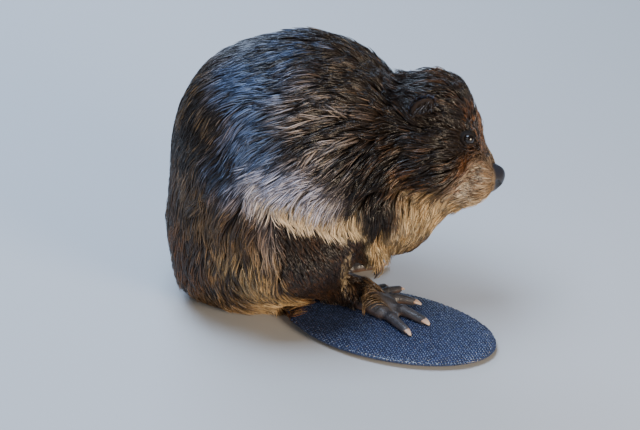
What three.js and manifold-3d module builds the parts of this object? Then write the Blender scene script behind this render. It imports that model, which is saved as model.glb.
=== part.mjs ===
// A sitting beaver at life size, as a still museum model.
// Millimetres, +Z up, +X is the way the head faces, +Y is the animal's left.
// The flesh is one smooth field, built from ellipsoids and round cones. The field is
// turned into closed faceted solids, region by region, and parted with thin cuts.
import * as THREE from 'three';
import { mergeVertices } from 'three/addons/utils/BufferGeometryUtils.js';
import Module from 'manifold-3d';

// ------------------------------------------------------------------ sizes (mm)
const CENTRE_X = 42.8;          // middle of the animal's box, along and across
const CENTRE_Y = -18.5;
const GAP = 0.5;                // parting gap between two nodes
const FOLD = 0.2;               // how far folding away a sliver may move a face
const CELL = { trunk: 28, neck: 21, head: 12.4, leg: 21, foot: 7.9, arm: 18, paw: 6.2, tail: 23, parting: 37 };
const HEAD_AT = [251, -40, 195];            // tip of the nose
const HEAD_TURN = { yaw: -12, pitch: 33, roll: 10 };
const HEAD_SCALE = 1.05;
const NECK_AT = [84, -6, 236];              // parting plane of the neck
const NECK_TURN = { yaw: -5, pitch: 14, roll: 0 };
const TAIL_ROOT = [-15, -33, 0];
const TAIL_TURN = -24.3;                    // the blade points ahead and to the right
const TAIL_HALF_LENGTH = 140, TAIL_HALF_WIDTH = 76, TAIL_MID = 139;
const TAIL_CORE = 7, TAIL_RISE = 10.5;      // height of the rim's middle, and of the crown over it
const EYE_R = 7.2;
const EAR_SIZE = [5.5, 16, 19];           // half thickness, half width, half height
const EAR = {                               // root on the head (ahead, up), the way it stands, the way it opens
  right: { root: [-128.6, 19.5], stands: [-0.35, 0.55, 0.75], faces: [0.55, 0.85, 0] },
  left: { root: [-128, 9], stands: [-0.55, 0.8, -0.22], faces: [0.4, 0.7, 0.5] },
};
const HIND_FOOT = {
  right: { at: [28, -50, 15.6], turn: -23.4, side: -1 },   // planted on the tail
  left: { at: [-32, 52, -1.6], turn: 4, side: 1 },         // planted on the floor
};
// hind toes 1 to 5, from the inner one out: base, knuckle and tip, as along, outward
const HIND_TOES = [
  [[46, -24], [54, -42], [60, -56], 6.5],
  [[58, -24], [70, -43], [79, -58], 7.2],
  [[66, -20], [87, -33], [106, -38.5], 8],
  [[76, -14], [104, -11], [133, -3.5], 8.5],
  [[68, -4], [97, 10], [122, 25], 8],
];
const FORE_PAW = {
  right: { wrist: [80, -56, 98], palm: [88, -52, 87], side: -1 },
  left: { wrist: [84, 46, 90], palm: [94, 42, 78], side: 1 },
};
// fingers 1 to 5, from the inner one out: sideways place, length, radius
const FINGERS = [[-12, 15, 4.4], [-6.5, 23, 5], [0, 26, 5.2], [6.5, 23, 5], [12, 17, 4.4]];

// ------------------------------------------------------------------ small vector maths
const rad = (d) => d * Math.PI / 180;
function turn({ yaw = 0, pitch = 0, roll = 0 }) {
  // columns: ahead, left, up of the turned frame
  const y = rad(yaw), p = rad(pitch), r = rad(roll);
  const Z = new THREE.Matrix4().makeRotationZ(y);
  const Y = new THREE.Matrix4().makeRotationY(p);
  const X = new THREE.Matrix4().makeRotationX(-r);
  return Z.multiply(Y).multiply(X);
}
const NO_TURN = new THREE.Matrix4();
const add = (a, b, s = 1) => [a[0] + b[0] * s, a[1] + b[1] * s, a[2] + b[2] * s];
const sub = (a, b) => [a[0] - b[0], a[1] - b[1], a[2] - b[2]];
const dot = (a, b) => a[0] * b[0] + a[1] * b[1] + a[2] * b[2];
const mix = (a, b, w = 0.5) => a.map((x, i) => x * (1 - w) + b[i] * w);
const unit = (a) => { const l = Math.hypot(...a); return a.map((x) => x / l); };
const apply = (m, v) => { const q = new THREE.Vector3(...v).applyMatrix4(m); return [q.x, q.y, q.z]; };

// ------------------------------------------------------------------ the field
const prims = [];
function ell(group, at, radii, m = NO_TURN, k = 20) {
  const e = m.elements;
  prims.push({ group, kind: 'e', at, radii, k,
    ax: [e[0], e[1], e[2]], ay: [e[4], e[5], e[6]], az: [e[8], e[9], e[10]] });
}
function cone(group, a, ra, b, rb, k = 12) {
  prims.push({ group, kind: 'c', a, ra, b, rb, k, ba: sub(b, a), bb: dot(sub(b, a), sub(b, a)) });
}
function distance(q, p) {
  if (p.kind === 'e') {
    const d = sub(q, p.at);
    const x = dot(d, p.ax), y = dot(d, p.ay), z = dot(d, p.az);
    const [a, b, c] = p.radii;
    const k0 = Math.hypot(x / a, y / b, z / c);
    const k1 = Math.hypot(x / (a * a), y / (b * b), z / (c * c));
    return k0 * (k0 - 1) / Math.max(k1, 1e-9);
  }
  const qa = sub(q, p.a);
  const h = Math.min(1, Math.max(0, dot(qa, p.ba) / p.bb));
  return Math.hypot(qa[0] - h * p.ba[0], qa[1] - h * p.ba[1], qa[2] - h * p.ba[2]) - (p.ra + (p.rb - p.ra) * h);
}
function field(groups, grow = 0) {
  const use = prims.filter((p) => groups.includes(p.group));
  return (q) => {
    let d = 1e9, first = true;
    for (const p of use) {
      const x = distance(q, p);
      if (first) { d = x; first = false; continue; }
      const h = Math.max(p.k - Math.abs(d - x), 0) / p.k;
      d = Math.min(d, x) - h * h * p.k * 0.25;
    }
    return d - grow;
  };
}

// trunk
ell('body', [-30, 2, 168], [128, 130, 172], NO_TURN, 50);
ell('body', [-66, 2, 226], [84, 104, 108], NO_TURN, 50);                       // upper back
ell('body', [8, 0, 232], [100, 110, 126], turn({ pitch: 14 }), 60);            // shoulders
ell('body', [-76, 6, 100], [88, 104, 98], NO_TURN, 50);                        // rump
ell('body', [112, -6, 142], [60, 74, 76], turn({ pitch: -20 }), 50);           // chest
cone('body', [62, 0, 232], 88, [142, -12, 222], 68, 50);                       // neck
cone('body', [120, -8, 150], 50, [186, -24, 160], 26, 30);                     // throat
// hind legs
for (const [leg, s] of [['leg_right', -1], ['leg_left', 1]]) ell(leg, [-8, s * 84, 132], [74, 54, 78], turn({ pitch: -20 }), 34);
cone('leg_right', [16, -98, 120], 44, [42, -60, 54], 17, 26);
cone('leg_right', [-30, -92, 100], 36, [34, -58, 44], 15, 22);
cone('leg_left', [6, 84, 110], 44, [0, 56, 28], 17, 26);
cone('leg_left', [-40, 84, 90], 36, [-6, 52, 24], 15, 22);
// forelegs, folded under the chest
for (const [name, P] of Object.entries(FORE_PAW)) {
  const s = P.side;
  cone('arm_' + name, [70, s * 62, 170], 44, [50, s * 66, 120], 30, 30);
  cone('arm_' + name, [50, s * 66, 118], 26, P.wrist, 13.5, 14);
  cone('paw_' + name, P.wrist, 12.5, P.palm, 12, 10);
}
// fore fingers: down and a little ahead
const fingerTips = { right: [], left: [] };
for (const [name, P] of Object.entries(FORE_PAW)) {
  const down = unit([0.42, 0, -0.9]), ahead = unit([0.9, 0, 0.42]), out = [0, P.side, 0];
  for (const [o, len, r] of FINGERS) {
    const base = add(add(P.palm, out, o * 0.7), ahead, 2);
    const mid = add(add(add(base, down, len * 0.46), ahead, 4), out, o * 0.2);
    const tip = add(add(add(base, down, len * 0.86), ahead, 0), out, o * 0.3);
    cone('paw_' + name, base, r + 1, mid, r, 5);
    cone('paw_' + name, mid, r, tip, r * 0.82, 3);
    fingerTips[name].push({ tip, dir: unit(add(down, ahead, -0.7)), up: ahead, r: r * 0.82 });
  }
}
// hind feet
const toeTips = { right: [], left: [] };
for (const [name, F] of Object.entries(HIND_FOOT)) {
  const c = Math.cos(rad(F.turn)), s = Math.sin(rad(F.turn));
  const along = [c, s, 0], out = [-s * F.side, c * F.side, 0];
  const W = (a, o, z) => add(add(add(F.at, along, a), out, o), [0, 0, 1], z);
  const g = 'foot_' + name;
  cone(g, W(4, -6, 13), 13, W(34, -12, 20), 14, 10);
  cone(g, W(24, -12, 21), 15, W(64, -11, 14), 11.5, 14);
  cone(g, W(58, -12, 14), 11, W(84, -16, 10), 9, 10);
  cone(g, W(46, -16, 14), 11, W(68, -26, 10), 8.5, 10);
  cone(g, W(50, -6, 13), 11, W(80, 4, 9.5), 9, 10);
  HIND_TOES.forEach(([b, m, t, r], i) => {
    cone(g, W(...b, 9), r, W(...m, 9), r * 0.86, 7);
    cone(g, W(...m, 9), r * 0.86, W(...t, 6.5), r * 0.7, 4);
    if (i < 4) {                               // the web to the next toe
      const [b2, m2] = HIND_TOES[i + 1];
      cone(g, W(...mix(b, b2), 7), 4, W(...mix(m, m2), 5), 3.2, 6);
    }
    toeTips[name].push({ tip: W(...t, 6.5), dir: unit(sub(W(...t, 4.0), W(...m, 9))), up: [0, 0, 1], r: r * 0.7 });
  });
}
// tail root, furred, from the rump to the blade
cone('tailbase', [-108, 0, 44], 52, [-62, -14, 30], 36, 30);
cone('tailbase', [-62, -14, 30], 36, [-2, -38, 12], 16, 26);
// head
const HM = turn(HEAD_TURN);
const hp = (f, l, u) => add(HEAD_AT, apply(HM, [f, l, u].map((v) => v * HEAD_SCALE)));
const hell = (at, radii, t, k) => ell('head', hp(...at), radii.map((v) => v * HEAD_SCALE), HM.clone().multiply(turn(t)), k);
hell([-101.5, 0, 2], [58, 54, 49], {}, 30);          // brain case and jaw muscles
hell([-114, 0, 36], [36, 36, 32], {}, 26);           // bristling hair of the crown
hell([-55, 0, -10], [46, 36, 29], { pitch: 7 }, 24); // snout
hell([-64, 0, -34], [46, 38, 26], { pitch: -4 }, 20); // lower jaw
hell([-27.5, 0, -37], [26, 22, 18], {}, 16);        // chin
for (const s of [-1, 1]) {
  hell([-86, s * 36, -16], [36, 26, 36], {}, 20);   // cheek
  hell([-20, s * 13, -17], [20, 18, 21], {}, 12);   // upper lip
  hell([-72, s * 26, 22], [17, 13, 10], {}, 12);    // brow
}

// ------------------------------------------------------------------ field to faceted solid
function facets(f, lo, hi, cell) {
  // a dual mesh of the field's zero level, one vertex in each cell that the surface crosses
  const n = [0, 1, 2].map((i) => Math.ceil((hi[i] - lo[i]) / cell) + 3);
  const P = (i, j, k) => [lo[0] + (i - 1) * cell, lo[1] + (j - 1) * cell, lo[2] + (k - 1) * cell];
  const id = (i, j, k) => (i * n[1] + j) * n[2] + k;
  const inBox = (q) => Math.max(lo[0] - q[0], q[0] - hi[0], lo[1] - q[1], q[1] - hi[1], lo[2] - q[2], q[2] - hi[2]);
  const g = (q) => Math.max(f(q), inBox(q));
  const G = new Float64Array(n[0] * n[1] * n[2]);
  for (let i = 0; i < n[0]; i++) for (let j = 0; j < n[1]; j++) for (let k = 0; k < n[2]; k++) {
    let v = g(P(i, j, k));
    if (Math.abs(v) < 1e-4) v = 1e-4;
    G[id(i, j, k)] = v;
  }
  const at = new Int32Array(G.length).fill(-1), verts = [];
  for (let i = 0; i < n[0] - 1; i++) for (let j = 0; j < n[1] - 1; j++) for (let k = 0; k < n[2] - 1; k++) {
    let cnt = 0; const acc = [0, 0, 0];
    for (const [a, b] of EDGES) {
      const ga = G[id(i + a[0], j + a[1], k + a[2])], gb = G[id(i + b[0], j + b[1], k + b[2])];
      if ((ga < 0) === (gb < 0)) continue;
      const t = ga / (ga - gb), q = mix(P(i + a[0], j + a[1], k + a[2]), P(i + b[0], j + b[1], k + b[2]), t);
      acc[0] += q[0]; acc[1] += q[1]; acc[2] += q[2]; cnt++;
    }
    if (!cnt) continue;
    let q = acc.map((v) => v / cnt);
    for (let s = 0; s < 2; s++) {                // settle the vertex on the surface
      const e = 0.5, v = g(q);
      const gr = [0, 1, 2].map((t) => { const u = [...q], w = [...q]; u[t] += e; w[t] -= e; return (g(u) - g(w)) / (2 * e); });
      const gg = Math.max(dot(gr, gr), 0.25);
      const step = Math.max(-cell * 0.35, Math.min(cell * 0.35, v / gg));
      q = add(q, gr, -step);
    }
    at[id(i, j, k)] = verts.length / 3; verts.push(...q);
  }
  const tris = [];
  const quad = (a, b, c, d, flip) => {
    const D = (x, y) => Math.hypot(verts[3 * x] - verts[3 * y], verts[3 * x + 1] - verts[3 * y + 1], verts[3 * x + 2] - verts[3 * y + 2]);
    const t = D(a, c) <= D(b, d) ? [a, b, c, a, c, d] : [a, b, d, b, c, d];
    if (flip) t.reverse();
    tris.push(...t);
  };
  for (let i = 1; i < n[0] - 1; i++) for (let j = 1; j < n[1] - 1; j++) for (let k = 1; k < n[2] - 1; k++) {
    const v = G[id(i, j, k)] < 0;
    if (v !== (G[id(i + 1, j, k)] < 0)) quad(at[id(i, j - 1, k - 1)], at[id(i, j, k - 1)], at[id(i, j, k)], at[id(i, j - 1, k)], !v);
    if (v !== (G[id(i, j + 1, k)] < 0)) quad(at[id(i - 1, j, k - 1)], at[id(i - 1, j, k)], at[id(i, j, k)], at[id(i, j, k - 1)], !v);
    if (v !== (G[id(i, j, k + 1)] < 0)) quad(at[id(i - 1, j - 1, k)], at[id(i, j - 1, k)], at[id(i, j, k)], at[id(i - 1, j, k)], !v);
  }
  return solid(verts, tris);
}
const CORNERS = [0, 1, 2, 3, 4, 5, 6, 7].map((c) => [(c >> 2) & 1, (c >> 1) & 1, c & 1]);
const EDGES = [];
for (let a = 0; a < 8; a++) for (let b = a + 1; b < 8; b++) {
  if (Math.abs(CORNERS[a][0] - CORNERS[b][0]) + Math.abs(CORNERS[a][1] - CORNERS[b][1]) + Math.abs(CORNERS[a][2] - CORNERS[b][2]) === 1) EDGES.push([CORNERS[a], CORNERS[b]]);
}

// ------------------------------------------------------------------ solids
const wasm = await Module();
wasm.setup();
function solid(verts, tris) {
  return new wasm.Manifold(new wasm.Mesh({ numProp: 3, vertProperties: new Float32Array(verts), triVerts: new Uint32Array(tris) }));
}
function fromGeometry(geometry) {
  const g = geometry.index ? geometry.clone() : geometry.clone();
  g.deleteAttribute('normal'); g.deleteAttribute('uv');
  const m = mergeVertices(g, 1e-4);
  const idx = [...m.index.array], keep = [];
  for (let i = 0; i < idx.length; i += 3) {
    if (idx[i] !== idx[i + 1] && idx[i + 1] !== idx[i + 2] && idx[i] !== idx[i + 2]) keep.push(idx[i], idx[i + 1], idx[i + 2]);
  }
  return solid(m.attributes.position.array, keep);
}
function grown(s, by = GAP) {
  // the same solid with each face moved out by the gap, mitred at the edges
  const m = s.getMesh(), V = m.vertProperties, T = m.triVerts, n = V.length / 3;
  const faces = Array.from({ length: n }, () => []);
  for (let i = 0; i < T.length; i += 3) {
    const [a, b, c] = [T[i] * 3, T[i + 1] * 3, T[i + 2] * 3];
    const u = [V[b] - V[a], V[b + 1] - V[a + 1], V[b + 2] - V[a + 2]], w = [V[c] - V[a], V[c + 1] - V[a + 1], V[c + 2] - V[a + 2]];
    const x = [u[1] * w[2] - u[2] * w[1], u[2] * w[0] - u[0] * w[2], u[0] * w[1] - u[1] * w[0]];
    const l = Math.hypot(...x);
    if (l < 1e-3) continue;
    for (const v of [a, b, c]) faces[v / 3].push(x.map((q) => q / l));
  }
  const W = new Float32Array(V.length);
  for (let i = 0; i < n; i++) {
    const d = [0, 0, 0];
    for (let k = 0; k < 40; k++) for (const f of faces[i]) {
      const short = by - dot(f, d);
      if (short > 0) for (let t = 0; t < 3; t++) d[t] += f[t] * short;
    }
    const l = Math.hypot(...d), cap = l > 3 * by ? 3 * by / l : 1;
    for (let t = 0; t < 3; t++) W[3 * i + t] = V[3 * i + t] + d[t] * cap;
  }
  return solid(W, T);
}
function block(lo, hi, at = [0, 0, 0], m = NO_TURN) {
  const g = new THREE.BoxGeometry(hi[0] - lo[0], hi[1] - lo[1], hi[2] - lo[2]);
  g.translate((lo[0] + hi[0]) / 2, (lo[1] + hi[1]) / 2, (lo[2] + hi[2]) / 2);
  g.applyMatrix4(m); g.translate(...at);
  return fromGeometry(g);
}
function ball(at, radii, m = NO_TURN, seg = 16, rings = 10) {
  const g = new THREE.SphereGeometry(1, seg, rings);
  g.scale(...radii); g.applyMatrix4(m); g.translate(...at);
  return fromGeometry(g);
}
// fold away the slivers that the cuts leave: an edge is closed up where its new end
// stays within `tol` of every face plane that met there
function tidy(s, tol) {
  const m = s.getMesh(), V = [], F = [];
  for (let i = 0; i < m.vertProperties.length; i += 3) V.push([m.vertProperties[i], m.vertProperties[i + 1], m.vertProperties[i + 2]]);
  for (let i = 0; i < m.triVerts.length; i += 3) F.push([m.triVerts[i], m.triVerts[i + 1], m.triVerts[i + 2]]);
  const cross = (a, b) => [a[1] * b[2] - a[2] * b[1], a[2] * b[0] - a[0] * b[2], a[0] * b[1] - a[1] * b[0]];
  const normal = (a, b, c) => { const x = cross(sub(b, a), sub(c, a)); const l = Math.hypot(...x); return l > 1e-7 ? [x.map((v) => v / l), l] : [null, l]; };
  const planes = V.map(() => []), of = V.map(() => new Set());
  F.forEach((f, i) => {
    const [n] = normal(...f.map((v) => V[v]));
    f.forEach((v) => { of[v].add(i); if (n) planes[v].push([n, -dot(n, V[f[0]])]); });
  });
  const off = (v, q) => { let w = 0; for (const [n, d] of planes[v]) w = Math.max(w, Math.abs(dot(n, q) + d)); return w; };
  const around = (v) => { const r = new Set(); for (const i of of[v]) for (const u of F[i]) if (u !== v) r.add(u); return r; };
  for (let pass = 0; pass < 14; pass++) {
    const edges = [];
    for (let v = 0; v < V.length; v++) {
      if (!of[v].size) continue;
      for (const u of around(v)) if (u > v) {
        for (const q of [V[u], V[v], mix(V[u], V[v])]) {
          const e = Math.max(off(u, q), off(v, q));
          if (e < tol) edges.push([Math.hypot(...sub(V[u], V[v])) + e * 20, u, v, q]);
        }
      }
    }
    edges.sort((a, b) => a[0] - b[0]);
    const held = new Set(); let done = 0;
    for (const [, u, v, q] of edges) {
      if (held.has(u) || held.has(v) || !of[u].size || !of[v].size) continue;
      const nu = around(u), nv = around(v);
      let both = 0; for (const w of nu) if (nv.has(w)) both++;
      if (both !== 2) continue;
      let ok = true;
      for (const [x, y] of [[u, v], [v, u]]) for (const i of of[x]) {
        const f = F[i]; if (f.includes(y)) continue;
        const [n0] = normal(...f.map((w) => V[w]));
        const [n1, l1] = normal(...f.map((w) => (w === x ? q : V[w])));
        if (!n1 || l1 < 1e-3) { ok = false; break; }
        if (n0 && dot(n0, n1) < 0.6) { ok = false; break; }
      }
      if (!ok) continue;
      for (const i of [...of[v]]) {
        const f = F[i];
        if (f.includes(u)) { for (const w of f) of[w].delete(i); F[i] = null; continue; }
        F[i] = f.map((w) => (w === v ? u : w)); of[u].add(i); of[v].delete(i);
      }
      V[u] = q; planes[u] = planes[u].concat(planes[v]);
      for (const w of around(u)) held.add(w);
      held.add(u); held.add(v); done++;
    }
    if (!done) break;
  }
  const at = new Map(), verts = [], tris = [];
  for (const f of F) if (f) for (const v of f) {
    if (!at.has(v)) { at.set(v, verts.length / 3); verts.push(...V[v]); }
    tris.push(at.get(v));
  }
  return solid(apart(verts, tris), tris);
}
// two corners of one solid that meet at a point are drawn back into it, so that it stays one clean body
function apart(V, T) {
  const seen = new Map();
  for (let i = 0; i < V.length / 3; i++) {
    const k = [0, 1, 2].map((t) => Math.round(V[3 * i + t] * 200)).join();
    if (!seen.has(k)) seen.set(k, []);
    seen.get(k).push(i);
  }
  const meet = new Map([...seen.values()].filter((g) => g.length > 1).flat().map((i) => [i, [0, 0, 0]]));
  if (!meet.size) return V;
  for (let i = 0; i < T.length; i += 3) for (let c = 0; c < 3; c++) {
    if (!meet.has(T[i + c])) continue;
    const [a, b, d] = [0, 1, 2].map((t) => V.slice(3 * T[i + t], 3 * T[i + t] + 3));
    const u = sub(b, a), w = sub(d, a), n = meet.get(T[i + c]);
    n[0] += u[1] * w[2] - u[2] * w[1]; n[1] += u[2] * w[0] - u[0] * w[2]; n[2] += u[0] * w[1] - u[1] * w[0];
  }
  const W = [...V];
  for (const [i, n] of meet) { const l = Math.hypot(...n) || 1; for (let t = 0; t < 3; t++) W[3 * i + t] -= n[t] / l * 0.06; }
  return W;
}
const largest = (s) => s.decompose().sort((a, b) => b.volume() - a.volume())[0];
const FLOOR = block([-400, -400, 0], [500, 400, 600]);

// a claw: a curved, flattened tapering horn
function claw(at, dir, up, length, width, height, curl) {
  const SIDES = 5, RINGS = 3, V = [], T = [];
  const side = unit([up[1] * dir[2] - up[2] * dir[1], up[2] * dir[0] - up[0] * dir[2], up[0] * dir[1] - up[1] * dir[0]]);
  const lift = unit([dir[1] * side[2] - dir[2] * side[1], dir[2] * side[0] - dir[0] * side[2], dir[0] * side[1] - dir[1] * side[0]]);
  for (let i = 0; i < RINGS; i++) {
    const t = i / RINGS, bend = curl * t * t * length, w = 1 - 0.62 * t * t - 0.12 * t;
    const c = add(add(at, dir, length * t), lift, -bend);
    for (let j = 0; j < SIDES; j++) {
      const a = 2 * Math.PI * j / SIDES;
      V.push(...add(add(c, side, Math.cos(a) * width * w), lift, Math.sin(a) * height * w));
    }
  }
  const tip = V.length / 3; V.push(...add(add(at, dir, length), lift, -curl * length));
  const root = tip + 1; V.push(...at);
  for (let j = 0; j < SIDES; j++) {
    const k = (j + 1) % SIDES;
    T.push(root, k, j);
    for (let i = 0; i < RINGS - 1; i++) {
      const a = i * SIDES + j, b = i * SIDES + k, c = a + SIDES, d = b + SIDES;
      T.push(a, b, d, a, d, c);
    }
    T.push((RINGS - 1) * SIDES + j, (RINGS - 1) * SIDES + k, tip);
  }
  const s = solid(V, T);
  return s.volume() > 0 ? s : solid(V, T.reverse());
}

// ------------------------------------------------------------------ the nodes, smallest first
const nodes = {};

// tail blade: a flat leaf, rounded at the tip and drawn in at the root, with a raised middle
function tailBlade() {
  const g = new THREE.SphereGeometry(1, 32, 8);
  g.rotateX(Math.PI / 2);
  const p = g.attributes.position;
  for (let i = 0; i < p.count; i++) {
    let x = p.getX(i), y = p.getY(i), z = p.getZ(i);
    const draw = 1 - 0.10 * Math.max(0, -x) ** 2;
    p.setXYZ(i, x * TAIL_HALF_LENGTH, y * TAIL_HALF_WIDTH * draw, z * TAIL_RISE);
  }
  g.rotateZ(rad(TAIL_TURN));
  const c = rad(TAIL_TURN);
  g.translate(TAIL_ROOT[0] + Math.cos(c) * TAIL_MID, TAIL_ROOT[1] + Math.sin(c) * TAIL_MID, TAIL_CORE);
  return fromGeometry(g).intersect(FLOOR);
}
const blade = tailBlade();
const bladeGrown = grown(blade);

// feet, paws and their claws
const footCut = {};
for (const [name, F] of Object.entries(HIND_FOOT)) {
  const clawsHere = toeTips[name].map((t, i) => {
    const w = [3.6, 4.2, 5.2, 5.4, 4.6][i], len = [9, 10, 11.5, 11.5, 11][i];
    return claw(add(add(t.tip, t.dir, t.r * 0.25), [0, 0, 1], 1.2), t.dir, t.up, len, w, w * 0.62, 0.2);
  });
  const f = field(['leg_' + name, 'foot_' + name]);
  const c = Math.cos(rad(F.turn)), s = Math.sin(rad(F.turn));
  const lo = [F.at[0] - 22, Math.min(F.at[1], F.at[1] + s * 160) - 62, F.at[2] - 2];
  const hi = [F.at[0] + 165, Math.max(F.at[1], F.at[1] + s * 160) + 62, F.at[2] + 60];
  let foot = facets(f, lo, hi, CELL.foot);
  const ankle = block([-40, -90, -10], [200, 90, 30], F.at, turn({ yaw: F.turn, pitch: -8 }));
  const toes = block([60, -70, -10], [175, 70, 30], F.at, turn({ yaw: F.turn }))
    .add(block([40, F.side < 0 ? 18 : -76, -10], [120, F.side < 0 ? 76 : -18, 24], F.at, turn({ yaw: F.turn })));
  footCut[name] = largest(facets(field(['foot_' + name], 4), lo, hi, 21).add(toes).intersect(ankle));
  foot = largest(foot.intersect(footCut[name]).intersect(FLOOR));
  foot = foot.subtract(bladeGrown);
  clawsHere.forEach((k, i) => {
    let cut = k.intersect(FLOOR);
    cut = cut.subtract(bladeGrown);
    foot = foot.subtract(grown(k));
    nodes[`claw_hind_${name}_${i + 1}`] = largest(cut);
  });
  nodes['hind_foot_' + name] = largest(foot);
}
const pawCut = {};
for (const [name, P] of Object.entries(FORE_PAW)) {
  const f = field(['arm_' + name, 'paw_' + name]);
  const lo = add(P.palm, [-40, -34, -34]), hi = add(P.palm, [40, 34, 34]);
  let paw = facets(f, lo, hi, CELL.paw);
  const wrist = block([-60, -60, -60], [60, 60, 5], add(P.palm, [-6, 0, 6]), turn({ pitch: 40 }));
  const fingers = block([-10, -27, -48], [34, 27, -3], P.palm);
  pawCut[name] = largest(facets(field(['paw_' + name], 2.5), lo, hi, 16).add(fingers).intersect(wrist));
  paw = largest(paw.intersect(pawCut[name]));
  fingerTips[name].forEach((t, i) => {
    const len = [9, 14, 16, 14, 10][i];
    const k = claw(add(t.tip, t.dir, t.r * 0.3), t.dir, t.up, len, 2.1, 2.6, 0.28);
    paw = paw.subtract(grown(k));
    nodes[`claw_fore_${name}_${i + 1}`] = k;
  });
  nodes['forepaw_' + name] = largest(paw);
}

// legs
const legCut = {}, armCut = {};
for (const name of ['right', 'left']) {
  const cutter = facets(field(['leg_' + name], 7), [-110, name === 'right' ? -170 : 0, -30], [100, name === 'right' ? 0 : 170, 240], CELL.parting);
  legCut[name] = cutter;
  const lo = [-105, name === 'right' ? -165 : 10, 0], hi = [95, name === 'right' ? -10 : 165, 235];
  let leg = facets(field(['body', 'leg_' + name]), lo, hi, CELL.leg).intersect(cutter).intersect(FLOOR);
  leg = leg.subtract(grown(footCut[name])).subtract(bladeGrown);
  nodes['hind_leg_' + name] = largest(leg);
}
for (const name of ['right', 'left']) {
  const s = FORE_PAW[name].side;
  const lo = [4, s < 0 ? -124 : 12, 60], hi = [126, s < 0 ? -12 : 124, 206];
  const cutter = facets(field(['arm_' + name], 1.5), lo, hi, 20);
  armCut[name] = cutter;
  let arm = facets(field(['body', 'arm_' + name]), add(lo, [-4, -4, -4]), add(hi, [4, 4, 4]), CELL.arm).intersect(cutter);
  arm = arm.subtract(grown(pawCut[name])).subtract(grown(legCut[name]));
  nodes['foreleg_' + name] = largest(arm);
}

// head, with its eyes, ears and nose
function seat(f, u, side, depth) {
  // a point `depth` under the head's surface, seen from the side
  const g = field(['body', 'head']);
  let l = 70; while (l > 5 && g(hp(f, side * l, u)) > 0) l -= 0.25;
  return hp(f, side * (l - depth / HEAD_SCALE), u);
}
const HM_BLOCK = block([-134, -120, -62], [60, 120, 110], HEAD_AT, HM);
let head = facets(field(['body', 'head']), [80, -150, 70], [275, 100, 345], CELL.head).intersect(HM_BLOCK);
for (const [name, s] of [['right', -1], ['left', 1]]) {
  const eyeAt = seat(-66, 25.5, s, 4.6);
  const eye = ball(eyeAt, [EYE_R, EYE_R, EYE_R], HM, 10, 6);
  nodes['eye_' + name] = eye;
  head = head.subtract(grown(eye));
  // the ear: a round cupped flap that stands on the side of the head
  const E = EAR[name], comb = (v) => unit(apply(HM, [v[0], v[1] * s, v[2]]));
  const long = comb(E.stands), face = comb(E.faces);
  const open = unit(add(face, long, -dot(face, long)));
  const wide = [long[1] * open[2] - long[2] * open[1], long[2] * open[0] - long[0] * open[2], long[0] * open[1] - long[1] * open[0]];
  const earM = new THREE.Matrix4().makeBasis(new THREE.Vector3(...open), new THREE.Vector3(...wide), new THREE.Vector3(...long));
  const earAt = add(seat(...E.root, s, 2), long, EAR_SIZE[2] * 0.8);
  const flap = ball(earAt, EAR_SIZE, earM, 12, 6);
  const cup = ball(add(earAt, apply(earM, [EAR_SIZE[0] * 1.1, 0, 1.5])), [EAR_SIZE[0] * 1.15, EAR_SIZE[1] * 0.76, EAR_SIZE[2] * 0.76], earM, 10, 6);
  const ear = flap.subtract(cup);
  nodes['ear_' + name] = ear;
  head = head.subtract(grown(flap));
}
const nose = ball(hp(-8, 0, -12), [12.5, 17, 17.5].map((v) => v * HEAD_SCALE), HM.clone().multiply(turn({ pitch: 10 })), 12, 6);
nodes.nose = nose;
head = head.subtract(grown(nose));
nodes.head = largest(head);
const headGrown = grown(HM_BLOCK);

// neck and throat
const NECK_BLOCK = block([0, -160, -112], [220, 160, 180], NECK_AT, turn(NECK_TURN));
let neck = facets(field(['body', 'head']), [46, -150, 90], [235, 140, 372], CELL.neck).intersect(NECK_BLOCK).subtract(headGrown);
for (const name of ['right', 'left']) neck = neck.subtract(grown(armCut[name])).subtract(grown(nodes['ear_' + name]));
nodes.neck = largest(neck);

// tail root and blade
const rootCut = facets(field(['tailbase'], 5), [-175, -70, -30], [40, 70, 110], CELL.parting);
let root = facets(field(['body', 'tailbase']), [-178, -75, -20], [45, 75, 100], CELL.tail).intersect(rootCut).intersect(FLOOR);
root = root.subtract(bladeGrown).subtract(grown(legCut.right)).subtract(grown(legCut.left)).subtract(grown(footCut.right)).subtract(grown(footCut.left));
nodes.tail_root = largest(root);
nodes.tail_blade = blade;

// trunk
let trunk = facets(field(['body', 'leg_right', 'leg_left', 'arm_right', 'arm_left', 'tailbase', 'head']), [-200, -165, -20], [200, 160, 385], CELL.trunk).intersect(FLOOR);
for (const cut of [legCut.right, legCut.left, armCut.right, armCut.left, footCut.right, footCut.left, pawCut.right, pawCut.left, rootCut, NECK_BLOCK, HM_BLOCK, blade]) trunk = trunk.subtract(grown(cut));
nodes.trunk = largest(trunk);

// ------------------------------------------------------------------ scene graph
const finish = (color, roughness, metalness = 0) => new THREE.MeshStandardMaterial({ color, roughness, metalness });
const FUR_DARK = finish(0x2c211a, 0.7), FUR_GOLD = finish(0x8a6238, 0.75), HIDE = finish(0x2b2c33, 0.45);
const TAIL = finish(0x1b2133, 0.4), CLAW = finish(0xc8a98c, 0.4), CLAW_DARK = finish(0x3a322c, 0.35), EYE = finish(0x080706, 0.05), NOSE = finish(0x17181c, 0.25);
function materialOf(name) {
  if (name.startsWith('claw_hind')) return CLAW;
  if (name.startsWith('claw_fore')) return CLAW_DARK;
  if (name.startsWith('eye')) return EYE;
  if (name === 'nose') return NOSE;
  if (name === 'tail_blade') return TAIL;
  if (name.startsWith('hind_foot') || name.startsWith('forepaw')) return HIDE;
  if (name === 'tail_root' || name === 'neck') return FUR_GOLD;
  return FUR_DARK;
}
const beaver = new THREE.Group();
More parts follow.
